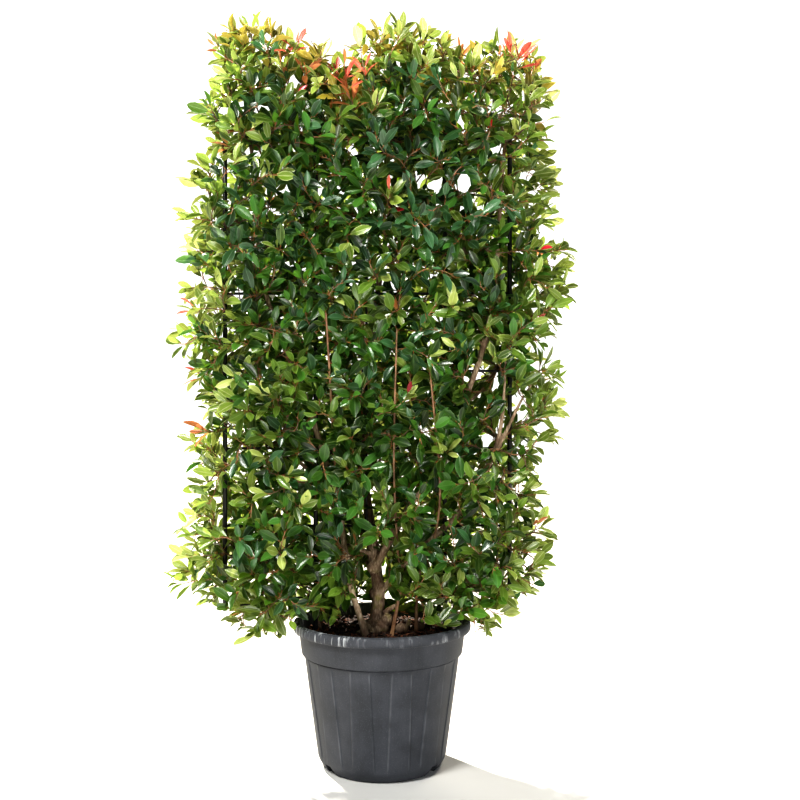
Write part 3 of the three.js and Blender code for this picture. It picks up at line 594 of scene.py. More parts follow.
plastic = mouldedPolypropylene()
soil = barkCompost("dampBarkCompost", "#120905", "#4a2c1c", 6 * mm)
chipFinishes = [
    barkCompost("darkBarkChips", "#1c0f08", "#4c2e1c", 9 * mm),
    barkCompost("brownBarkChips", "#3c2012", "#784a2e", 9 * mm),
    barkCompost("paleWoodChips", "#6c4432", "#ac7c64", 9 * mm),
]
bark = oldBark()
twigBark = youngBark("ripenedTwigBark", "#46362a", "#7c6850")
shootBark = youngBark("youngShootBark", "#664832", "#a07e60")
stalkSkin = youngBark("leafStalkSkin", "#84582e", "#b0683c")
coat = powderCoat()
leafFinishes = {tint: leafSkin(tint) for tint in leafTints}
print("materials are made")


# the pot
potSizes = {
    "columns": 288,  # round the pot, 24 to each panel and the rib beside it
    "panels": 12,
    "outside": [  # radius and height, from the foot up to where the panels start
        (0.1535, 0.0012), (0.1580, 0.0055), (0.1630, 0.0125), (0.1680, 0.0210), (0.1712, 0.0300)],
    "wallTop": (0.2066, 0.2930),
    "wallRings": 22,
    "neck": [  # the collar, the rolled lip, and the inside down to the floor
        (0.2056, 0.2948), (0.2054, 0.2970), (0.2120, 0.2980), (0.2140, 0.2994), (0.2148, 0.3030),
        (0.2190, 0.3360), (0.2206, 0.3520), (0.2216, 0.3560), (0.2240, 0.3572), (0.2310, 0.3578),
        (0.2346, 0.3592), (0.2366, 0.3625), (0.2370, 0.3680), (0.2364, 0.3760), (0.2344, 0.3815),
        (0.2306, 0.3843), (0.2266, 0.3850), (0.2228, 0.3838), (0.2204, 0.3808), (0.2192, 0.3750),
        (0.2150, 0.3560), (0.2098, 0.3300), (0.2030, 0.2990), (0.1850, 0.1650), (0.1668, 0.0300),
        (0.1500, 0.0080), (0.0600, 0.0065)],
    "footRadius": 0.1495,
    "sink": 0.0024,
    "fadeBelow": 0.016,  # height over which a panel runs out at its foot, and at its top
    "fadeAbove": 0.004,
    "halfTop": 7.5,  # half a panel's angle
    "halfBase": 4.7,
    "step": 0.45,  # half the angle over which it sinks in
    "levelColumns": 4,  # to each side of a panel's middle: the next is half way down, the rest are on the rib
    "tolerance": 0.001,
    "notchAngles": (55, 125, 235, 305),
    "notchWidth": 0.042,
    "notchTop": 0.62,  # share of that width
    "notchHeight": 0.025,
    "notchPlace": 0.160,  # its middle's distance from the pot's axis
    "notchDepth": 0.050,
    "smooth": 28,
}


def panelColumn(k, half, step):  # angle and share of the sink of the k-th column from a panel's middle
    side = 1 if k >= 0 else -1
    level = potSizes["levelColumns"]
    if abs(k) <= level:
        return k / level * (half - step), 1
    if abs(k) == level + 1:
        return side * half, 0.5
    onRib = potSizes["columns"] / potSizes["panels"] / 2 - level - 2
    middle = 180 / potSizes["panels"]
    return side * (half + step + (middle - half - step) * (abs(k) - level - 2) / onRib), 0


def sinkPanels(piece):
    period = 360 / potSizes["panels"]
    (baseRadius, low), (topRadius, high) = potSizes["outside"][-1], potSizes["wallTop"]
    tolerance = potSizes["tolerance"]
    points = meshPoints(piece)
    ridges = np.zeros(len(points))
    for i, p in enumerate(points):
        x, y, z = p
        radius = hypot(x, y)
        outer = np.interp(z, [low, high], [baseRadius, topRadius])
        if not (low - tolerance < z < high + tolerance) or abs(radius - outer) > 1.5 * tolerance:
            continue
        angle = degrees(atan2(x, -y)) % 360
        panel = round(angle / period)
        k = round((angle - panel * period) / (360 / potSizes["columns"]))
        half = np.interp(z, [0, high], [potSizes["halfBase"], potSizes["halfTop"]])
        ease = min(1, max(0, (z - low) / potSizes["fadeBelow"]), max(0, (high - z) / potSizes["fadeAbove"]))
        turn, share = panelColumn(k, half, potSizes["step"])
        turn = radians(panel * period + turn)
        new = radius - potSizes["sink"] * share * ease * ease * (3 - 2 * ease)
        p[0], p[1] = new * sin(turn), -new * cos(turn)
        # marks the edges of the ribs, where the pot's material paints a highlight
        ridges[i] = ease * (abs(k) == potSizes["levelColumns"] + 2)
    setMeshPoints(piece, points)
    piece.data.attributes.new("ridge", "FLOAT", "POINT").data.foreach_set("value", ridges)


def buildPot():
    columns = potSizes["columns"]
    bpy.ops.mesh.primitive_circle_add(vertices=columns, radius=potSizes["footRadius"], fill_type="NGON",
                                      rotation=(0, 0, radians(90)))
    piece = added("nurseryPot")
    applyPlace(piece)
    (baseRadius, base), (topRadius, top) = potSizes["outside"][-1], potSizes["wallTop"]
    wall = [(np.interp(t, [0, 1], [baseRadius, topRadius]), np.interp(t, [0, 1], [base, top]))
            for t in np.linspace(0, 1, potSizes["wallRings"] + 1)[1:]]
    bpy.ops.object.mode_set(mode="EDIT")
    bpy.ops.mesh.select_all(action="SELECT")
    radius, height = potSizes["footRadius"], 0
    for newRadius, newHeight in potSizes["outside"] + wall + potSizes["neck"]:
        bpy.ops.mesh.extrude_region_move(TRANSFORM_OT_translate={"value": (0, 0, newHeight - height)})
        share = newRadius / radius
        bpy.ops.transform.resize(value=(share, share, 1), center_override=(0, 0, newHeight))
        radius, height = newRadius, newHeight
    bpy.ops.mesh.select_all(action="SELECT")
    bpy.ops.mesh.normals_make_consistent(inside=False)
    bpy.ops.object.mode_set(mode="OBJECT")
    sinkPanels(piece)

    cutters = []
    for angle in potSizes["notchAngles"]:  # drainage cuts in the foot
        middle = (0, -potSizes["notchPlace"], potSizes["notchHeight"] / 2 - potSizes["tolerance"])
        bpy.ops.mesh.primitive_cube_add(size=1, location=middle)
        cutter = added("notchCutter")
        cutter.scale = (potSizes["notchWidth"], potSizes["notchDepth"],
                        potSizes["notchHeight"] + 2 * potSizes["tolerance"])
        applyPlace(cutter)
        bpy.ops.object.mode_set(mode="EDIT")
        bpy.ops.mesh.select_mode(type="FACE")
        bpy.ops.mesh.select_all(action="DESELECT")
        bpy.ops.object.mode_set(mode="OBJECT")
        for face in cutter.data.polygons:
            face.select = face.normal.z > 0.9
        bpy.ops.object.mode_set(mode="EDIT")
        bpy.ops.transform.resize(value=(potSizes["notchTop"], 1, 1))
        bpy.ops.object.mode_set(mode="OBJECT")
        cutter.rotation_euler.z = radians(angle)
        applyPlace(cutter)
        cutters.append(cutter)
    cutter = joined(cutters, "notchCutters")
    applyModifier(piece, "BOOLEAN", operation="DIFFERENCE", solver="EXACT", object=cutter)
    bpy.data.objects.remove(cutter)
    smoothBy(piece, potSizes["smooth"])
    piece.data.materials.append(plastic)
    return finished(piece, "pot", "pot")


buildPot()
print("the pot is built")


# the compost
compostSizes = {
    "radius": 0.2105,
    "flatRadius": 0.188,
    "level": 0.350,
    "edgeDrop": 0.006,
    "cells": 150,
    "depth": 0.060,
    "lump": 0.0075,
    "lumpSize": 0.026,
    "lumpLevel": 0.15,
    "crumb": 0.0030,
    "crumbSize": 0.007,
    "chips": 2000,
    "chipShares": (0.56, 0.39, 0.05),
    "chipLength": (0.005, 0.030),
    "chipBias": 2.2,  # a higher power gives more short ones
    "chipWidth": (0.25, 0.4),  # share of its length: the least, and what chance adds
    "chipThickness": (0.12, 0.16),
    "chipTilt": (0.5, 0.4),  # along and across, in radians
    "chipReach": 0.200,
    "chipLift": (0.25, 0.001),  # share of its thickness, and more
    "trunkFoot": (-0.019, 0.006, 0.03),  # no chips here: x, y and radius
    "taper": 0.965,  # the pot narrows downwards
    "smooth": 50,
    "seed": 5,
}


def compostLevel(x, y):
    edge = np.interp(hypot(x, y), [compostSizes["flatRadius"], compostSizes["radius"]],
                     [0, compostSizes["edgeDrop"]])
    broad = noise.noise(Vector((x, y, 3)) / compostSizes["lumpSize"])
    fine = noise.noise(Vector((x, y, 8)) / compostSizes["crumbSize"])
    return (compostSizes["level"] - edge + compostSizes["lump"] * (broad - compostSizes["lumpLevel"])
            + compostSizes["crumb"] * fine)


def buildCompost():
    radius = compostSizes["radius"]
    bpy.ops.mesh.primitive_grid_add(x_subdivisions=compostSizes["cells"],
                                    y_subdivisions=compostSizes["cells"], size=2 * radius)
    piece = added("barkCompost")
    bpy.ops.object.mode_set(mode="EDIT")
    bpy.ops.mesh.select_mode(type="VERT")
    bpy.ops.mesh.select_all(action="DESELECT")
    bpy.ops.object.mode_set(mode="OBJECT")
    for point in piece.data.vertices:
        point.select = hypot(point.co.x, point.co.y) > radius
    bpy.ops.object.mode_set(mode="EDIT")
    bpy.ops.mesh.delete(type="VERT")
    bpy.ops.mesh.select_all(action="SELECT")
    bpy.ops.mesh.extrude_region_move(TRANSFORM_OT_translate={"value": (0, 0, compostSizes["depth"])})
    bpy.ops.mesh.select_all(action="SELECT")
    bpy.ops.mesh.normals_make_consistent(inside=False)
    bpy.ops.object.mode_set(mode="OBJECT")
    points = meshPoints(piece)
    for p in points:
        if p[2] > compostSizes["depth"] / 2:
            p[2] = compostLevel(p[0], p[1])
        else:
            p[:2] *= compostSizes["taper"]
            p[2] = compostSizes["level"] - compostSizes["depth"]
    setMeshPoints(piece, points)
    smoothBy(piece, compostSizes["smooth"])
    piece.data.materials.append(soil)
    return finished(piece, "compost", "compost")


def buildChips():
    rng = np.random.default_rng(compostSizes["seed"])
    bpy.ops.mesh.primitive_ico_sphere_add(subdivisions=1, radius=0.5)
    model = added("chipModel")
    corners = meshPoints(model)
    sides = np.array([list(face.vertices) for face in model.data.polygons])
    bpy.data.objects.remove(model)
    (width, widthMore), (thickness, thicknessMore) = compostSizes["chipWidth"], compostSizes["chipThickness"]
    footX, footY, footRadius = compostSizes["trunkFoot"]
    pitching, rolling = compostSizes["chipTilt"]
    liftShare, liftMore = compostSizes["chipLift"]
    for kind, (finish, name) in enumerate(zip(chipFinishes, ("chipsDark", "chipsBrown", "chipsPale"))):
        points, faces = [], []
        for _ in range(int(compostSizes["chips"] * compostSizes["chipShares"][kind])):
            r, turn = compostSizes["chipReach"] * np.sqrt(rng.random()), rng.random() * 2 * pi
            x, y = r * cos(turn), r * sin(turn)
            if hypot(x - footX, y - footY) < footRadius:
                continue
            short, long = compostSizes["chipLength"]
            length = short + (long - short) * rng.random() ** compostSizes["chipBias"]
            size = np.array([length, length * (width + widthMore * rng.random()),
                             length * (thickness + thicknessMore * rng.random())])
            shape = corners * (1 + 0.5 * (rng.random(corners.shape) - 0.5)) * size
            yaw, pitch, roll = rng.random() * 2 * pi, pitching * rng.normal(), rolling * rng.normal()
            axisA = np.array([cos(yaw) * cos(pitch), sin(yaw) * cos(pitch), sin(pitch)])
            sideways = np.array([-sin(yaw), cos(yaw), 0.0])
            upwards = np.cross(axisA, sideways)
            axisB = sideways * cos(roll) + upwards * sin(roll)
            turned = shape @ np.array([axisA, axisB, np.cross(axisA, axisB)])
            turned += (x, y, compostLevel(x, y) + liftShare * size[2] + liftMore)
            faces.append(sides + len(points) * len(corners))
            points.append(turned)
        piece = pieceFrom(name, np.concatenate(points), np.concatenate(faces).tolist(), [finish])
        finished(piece, "compost")


buildCompost()
buildChips()
print("the compost is filled in")


# the training frame
frameSizes = {
    "bevel": 0.0012,
    "tubeSides": 24,
    "rodSides": 16,
    "weld": 0.0046,
    "weldShape": (0.9, 0.7, 1.2),
    "weldAside": 0.55,  # share of the tube's radius
    "weldForward": 0.8,  # share of the rod's radius
    "smooth": 35,
}


def addBar(name, start, end, radius, sides):
    start, end = Vector(start), Vector(end)
    turn = (end - start).to_track_quat("Z", "Y").to_euler()
    bpy.ops.mesh.primitive_cylinder_add(vertices=sides, radius=radius, depth=(end - start).length,
                                        location=(start + end) / 2, rotation=turn)
    piece = added(name)
    applyPlace(piece)
    applyModifier(piece, "BEVEL", width=frameSizes["bevel"], segments=3, limit_method="ANGLE")
    return piece


def barEnds(name):  # the two ends and the radius of a straight CAD bar
    low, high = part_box(name)
    size = high - low
    thick = min(size)
    middle = (low + high) / 2
    along = max(range(3), key=lambda i: size[i])
    start, end = middle.copy(), middle.copy()
    start[along], end[along] = low[along], high[along]
    if "brace" in name:
        rise = size.z - thick
        slope = 1 if "left" in name else -1
        start.z, end.z = middle.z - slope * rise / 2, middle.z + slope * rise / 2
    return start, end, thick / 2


def buildFrame():
    tubeNames = ["frame_left", "frame_right", "frame_leg_left", "frame_leg_right"]
    rodNames = [name for name in nodeNames if name.startswith("frame") and name not in tubeNames]
    tubes = [addBar(name + "Tube", *barEnds(name), frameSizes["tubeSides"]) for name in tubeNames]
    rods = [addBar(name + "Rod", *barEnds(name), frameSizes["rodSides"]) for name in rodNames]
    for row in [name for name in rodNames if "row" in name]:  # weld beads where the rods lie on the tubes
        rowStart, _, rowRadius = barEnds(row)
        for tube in tubeNames:
            tubeStart, _, tubeRadius = barEnds(tube)
            for side in (-1, 1):
                place = (tubeStart.x + side * tubeRadius * frameSizes["weldAside"],
                         rowStart.y - rowRadius * frameSizes["weldForward"], rowStart.z)
                bpy.ops.mesh.primitive_uv_sphere_add(segments=12, ring_count=8, radius=frameSizes["weld"],
                                                     location=place)
                weld = added("weld")
                weld.scale = frameSizes["weldShape"]
                applyPlace(weld)
                rods.append(weld)
    for name, pieces, nodes in (("frameTubes", tubes, tubeNames), ("frameRods", rods, rodNames)):
        piece = joined(pieces, name)
        smoothBy(piece, frameSizes["smooth"])
        piece.data.materials.clear()
        piece.data.materials.append(coat)
        finished(piece, "frame", *nodes)


buildFrame()
print("the training frame is built")


# Each limb's points from foot to tip, its radius at both ends and the flare that dies away from its foot.
limbTable = {
    "trunk": ([(-0.019, 0.006, 0.342), (-0.009, 0.012, 0.442), (-0.022, 0.022, 0.540),
               (-0.031, 0.032, 0.612)], (0.0185, 0.0160), 0.010),
    "stem_left": ([(-0.040, -0.044, 0.342), (-0.086, -0.048, 0.496), (-0.098, -0.038, 0.575),
                   (-0.116, -0.026, 0.690)], (0.0080, 0.0090), 0.005),
    "stem_far_left": ([(-0.168, 0.032, 0.342), (-0.198, 0.030, 0.424), (-0.294, 0.010, 0.505)],
                      (0.0070, 0.0050), 0.003),
    "stem_far_right": ([(0.178, 0.032, 0.342), (0.204, 0.032, 0.424), (0.298, 0.010, 0.500)],
                       (0.0065, 0.0050), 0.003),
    "shoot_middle": ([(0.026, -0.032, 0.342), (0.048, -0.040, 0.482), (0.040, -0.052, 0.600),
                      (0.032, -0.092, 0.800), (0.040, -0.138, 1.150)], (0.0042, 0.0024), 0.003),
    "shoot_right": ([(0.090, -0.020, 0.342), (0.099, -0.026, 0.505), (0.136, -0.038, 0.596),
                     (0.152, -0.070, 0.720), (0.124, -0.136, 1.050)], (0.0042, 0.0024), 0.002),
    "bough_leader": ([(-0.031, 0.032, 0.612), (-0.060, 0.036, 0.880), (-0.014, 0.034, 1.250),
                      (0.044, 0.032, 1.630)], (0.0140, 0.0050), 0),
    "bough_left": ([(-0.116, -0.026, 0.690), (-0.190, -0.030, 0.940), (-0.312, -0.028, 1.270),
                    (-0.346, -0.026, 1.625)], (0.0085, 0.0050), 0),
    "bough_right": ([(-0.016, 0.012, 0.520), (0.022, -0.012, 0.600), (0.126, -0.030, 0.780),
                     (0.274, -0.032, 1.130), (0.324, -0.026, 1.625)], (0.0110, 0.0050), 0),
    "bough_right_low": ([(-0.006, 0.010, 0.450), (0.070, -0.020, 0.545), (0.222, -0.032, 0.690),
                         (0.298, -0.030, 0.826)], (0.0090, 0.0070), 0),
    "shoot_left": ([(-0.120, -0.026, 0.700), (-0.124, -0.060, 0.830), (-0.140, -0.142, 1.190)],
                   (0.0042, 0.0028), 0),
    # where boughs fork on inside a mass
    "fork_upright": ([(0.290, -0.030, 0.812), (0.312, -0.044, 0.890), (0.322, -0.050, 0.990),
                      (0.326, -0.054, 1.080)], (0.0066, 0.0030), 0),
    "fork_out": ([(0.296, -0.030, 0.822), (0.322, -0.050, 0.876), (0.366, -0.060, 0.968),
                  (0.392, -0.064, 1.010)], (0.0066, 0.0030), 0),
}
sideBoughs = {  # the limb each leaves, at what share of its length, and where it turns to
    "bough_left_2": ("bough_left", 0.07, (-0.118, 0.002, 0.084)),
    "bough_left_3": ("bough_left", 0.37, (-0.104, 0.044, 0.096)),
    "bough_left_4": ("bough_left", 0.68, (-0.096, 0.048, 0.098)),
    "bough_middle_1": ("trunk", 0.60, (-0.046, 0.062, 0.046)),
    "bough_middle_2": ("bough_leader", 0.10, (-0.062, 0.034, 0.088)),
    "bough_middle_3": ("bough_leader", 0.42, (-0.066, 0.030, 0.092)),
    "bough_middle_4": ("bough_leader", 0.74, (0.058, 0.034, 0.092)),
    "bough_right_3": ("bough_right", 0.42, (0.086, 0.062, 0.084)),
    "bough_right_4": ("bough_right", 0.72, (-0.088, 0.058, 0.092)),
}
carriers = {
    "left": ["stem_far_left", "bough_left_2", "bough_left_3", "bough_left_4", "bough_left"],
    "middle": ["bough_middle_1", "bough_middle_2", "bough_middle_3", "bough_middle_4", "bough_leader"],
    "right": ["stem_far_right", "bough_right_low", "bough_right_3", "bough_right_4", "bough_right"],
}
woodSizes = {
    "step": 0.006,  # between the rings of a limb
    "voxel": 0.0023,
    "flareFall": 14,  # how soon the flare dies away
    "youth": {"trunk": 0.0, "bough_leader": 0.1, "stem_left": 1.0, "bough_right": 0.7},
    "otherYouth": 0.55,
    # painted shade: the pale of young bark is dimmed higher up, where the limbs run inside the crown, by
    # these shares at these heights
    "youthByHeight": ([0.50, 0.60, 0.90], [1, 0.4, 0.5]),
    "sideRadius": (0.0060, 0.0044),
    "sideSag": 0.72,
    "relief": 0.085,  # share of the limb's radius
    "reliefWidth": 0.0085,
    "reliefStretch": 0.22,
    "reliefLevel": 0.55,
    "fineRelief": (2.3, 0.5),  # finer by this, and this much lower
    "wobble": 0.13,
    "wobbleSize": 0.045,
    "wobbleStretch": 0.6,
    "rootAngles": (15, 95, 200, 305, 255, 150),
    "rootRise": 0.036,  # how high on the trunk a root starts
    "rootReach": (0.046, 0.009),
    "rootRadii": (0.010, 0.0085, 0.004),
    "rootSag": 0.006,
    "rootStep": 0.005,
    "stubBow": 0.002,
    "sides": 12,
    "smooth": 60,
    # swellings where limbs fork, were pruned or healed over: place and radius
    "lumps": [
        ((-0.002, -0.012, 0.362), 0.023), ((-0.035, 0.000, 0.360), 0.022), ((0.014, -0.016, 0.384), 0.017),
        ((-0.022, 0.012, 0.520), 0.020), ((-0.032, 0.030, 0.606), 0.019), ((-0.110, -0.030, 0.648), 0.013),
        ((-0.094, -0.042, 0.556), 0.012), ((-0.060, 0.036, 0.880), 0.014), ((0.126, -0.030, 0.782), 0.0115),
        ((0.232, -0.032, 0.706), 0.0115), ((0.274, -0.032, 1.130), 0.0095), ((-0.190, -0.030, 0.940), 0.0095),
        ((-0.016, 0.020, 0.450), 0.0195), ((0.050, -0.034, 0.366), 0.014), ((0.102, 0.010, 0.362), 0.013),
    ],
    # short stubs left by pruning: foot, tip and radius
    "stubs": [
        ((-0.022, 0.018, 0.548), (-0.062, -0.012, 0.572), 0.0062),
        ((0.006, -0.010, 0.402), (0.038, -0.030, 0.424), 0.0068),
        ((-0.100, -0.036, 0.590), (-0.122, -0.062, 0.604), 0.0046),
        ((0.122, -0.030, 0.774), (0.150, -0.052, 0.780), 0.0050),
        ((0.268, -0.032, 1.115), (0.244, -0.056, 1.128), 0.0042),
        ((0.060, -0.030, 0.346), (0.074, -0.050, 0.392), 0.0066),
        ((-0.060, 0.036, 0.872), (-0.086, 0.018, 0.884), 0.0050),
    ],
}


def smoothRun(via, step):  # evenly spaced points on a centripetal curve through these
    via = [np.array(p, float) for p in via]
    ends = [2 * via[0] - via[1]] + via + [2 * via[-1] - via[-2]]
    fine = []
    for p0, p1, p2, p3 in zip(ends, ends[1:], ends[2:], ends[3:]):
        d0, d1, d2 = (np.sqrt(np.linalg.norm(b - a)) for a, b in ((p0, p1), (p1, p2), (p2, p3)))
        m1 = d1 * ((p1 - p0) / d0 - (p2 - p0) / (d0 + d1) + (p2 - p1) / d1)
        m2 = d1 * ((p2 - p1) / d1 - (p3 - p1) / (d1 + d2) + (p3 - p2) / d2)
        for t in np.linspace(0, 1, 40, endpoint=False):
            fine.append((2 * t**3 - 3 * t**2 + 1) * p1 + (t**3 - 2 * t**2 + t) * m1
                        + (3 * t**2 - 2 * t**3) * p2 + (t**3 - t**2) * m2)
    fine = np.array(fine + [via[-1]])
    way = np.concatenate([[0], np.cumsum(np.linalg.norm(np.diff(fine, axis=0), axis=1))])
    even = np.linspace(0, way[-1], max(4, int(way[-1] / step) + 1))
    return np.stack([np.interp(even, way, fine[:, i]) for i in range(3)], axis=1)


def limbRadii(count, radius, flare):
    t = np.linspace(0, 1, count)
    return radius[0] + (radius[1] - radius[0]) * t + flare * np.exp(-woodSizes["flareFall"] * t)


limbs = {}
for name, (via, radius, flare) in limbTable.items():
    run = smoothRun(via, woodSizes["step"])
    limbs[name] = {"points": run, "radii": limbRadii(len(run), radius, flare)}
for name, (parent, share, turn) in sideBoughs.items():
    run = limbs[parent]["points"]
    foot = run[int(round(share * (len(run) - 1)))]
    middle = foot + 0.5 * np.array(turn)
    middle[2] = foot[2] + woodSizes["sideSag"] * 0.5 * turn[2]
    run = smoothRun([foot, middle, foot + np.array(turn)], woodSizes["step"])
    limbs[name] = {"points": run, "radii": limbRadii(len(run), woodSizes["sideRadius"], 0)}


def curvePiece(name, runs, sides):  # round bars along runs of points, as one mesh
    curve = bpy.data.curves.new(name, "CURVE")
    curve.dimensions = "3D"
    curve.bevel_depth = 1
    curve.bevel_resolution = sides // 4
    curve.use_fill_caps = True
    for points, radii in runs:
        spline = curve.splines.new("POLY")
        spline.points.add(len(points) - 1)
        spline.points.foreach_set("co", np.column_stack([points, np.ones(len(points))]).ravel())
        spline.points.foreach_set("radius", np.asarray(radii, float))
    piece = bpy.data.objects.new(name, curve)
    bpy.context.collection.objects.link(piece)
    selectOnly(piece)
    bpy.ops.object.convert(target="MESH")
    return added(name)


def nearestLimb(points, names):  # radius and youth of the limb nearest to each point
    starts = np.concatenate([limbs[n]["points"] for n in names])
    radii = np.concatenate([limbs[n]["radii"] for n in names])
    youth = np.concatenate([
        np.full(len(limbs[n]["points"]), woodSizes["youth"].get(n, woodSizes["otherYouth"])) for n in names])
    nearest = np.zeros(len(points), int)
    for k in range(0, len(points), 4000):
        apart = ((points[k:k + 4000, None] - starts[None]) ** 2).sum(axis=2)
        nearest[k:k + 4000] = apart.argmin(axis=1)
    return radii[nearest], youth[nearest]


def buildWood():
    woodNames = [name for name in limbs if name not in frontShoots]
    runs = [(limbs[name]["points"], limbs[name]["radii"]) for name in woodNames]
    foot = limbs["trunk"]["points"][0]
    reach, reachMore = woodSizes["rootReach"]
    for k, angle in enumerate(woodSizes["rootAngles"]):  # roots that swell the trunk's foot
        out = np.array([cos(radians(angle)), sin(radians(angle)), 0])
        start = foot + 0.004 * out + (0, 0, woodSizes["rootRise"])
        end = foot + (reach + reachMore * (k % 3)) * out + (0, 0, 0.001)
        middle = (start + end) / 2 - (0, 0, woodSizes["rootSag"])
        run = smoothRun([start, middle, end], woodSizes["rootStep"])
        runs.append((run, np.interp(np.linspace(0, 1, len(run)), [0, 0.5, 1], woodSizes["rootRadii"])))
    for start, end, radius in woodSizes["stubs"]:
        middle = (np.array(start) + end) / 2 + (0, 0, woodSizes["stubBow"])
        run = smoothRun([start, middle, end], woodSizes["step"])
        runs.append((run, np.full(len(run), radius)))
    pieces = [curvePiece("limbBars", runs, woodSizes["sides"])]
    for place, radius in woodSizes["lumps"]:
        bpy.ops.mesh.primitive_ico_sphere_add(subdivisions=3, radius=radius, location=place)
        lump = added("lump")
        applyPlace(lump)
        pieces.append(lump)
    piece = joined(pieces, "trunkAndBoughs")
    applyModifier(piece, "REMESH", mode="VOXEL", voxel_size=woodSizes["voxel"])
    applyModifier(piece, "SMOOTH", factor=0.5, iterations=3)

    points = meshPoints(piece)
    normals = np.zeros(len(points) * 3)
    piece.data.vertices.foreach_get("normal", normals)
    normals = normals.reshape(-1, 3)
    radii, youth = nearestLimb(points, woodNames)
    # painted shade: the bark is darker higher up, inside the crown
    youth *= np.interp(points[:, 2], *woodSizes["youthByHeight"])
    piece.data.attributes.new("youth", "FLOAT", "POINT").data.foreach_set("value", youth)
    heights = np.zeros(len(points))
    finer, lower = woodSizes["fineRelief"]
    for i, (x, y, z) in enumerate(points):
        upright = Vector((x, y, z * woodSizes["reliefStretch"])) / woodSizes["reliefWidth"]
        ridges = woodSizes["reliefLevel"] - abs(noise.noise(upright))
        ridges = ridges - lower * abs(noise.noise(upright * finer))
        swell = noise.noise(Vector((x, y, woodSizes["wobbleStretch"] * z)) / woodSizes["wobbleSize"])
        heights[i] = woodSizes["relief"] * ridges + woodSizes["wobble"] * swell
    setMeshPoints(piece, points + normals * (heights * radii)[:, None])
    smoothBy(piece, woodSizes["smooth"])
    piece.data.materials.clear()
    piece.data.materials.append(bark)
    finished(piece, "bark", *[name for name in woodNames if name in nodeNames])


buildWood()
print("the trunk and boughs are grown")


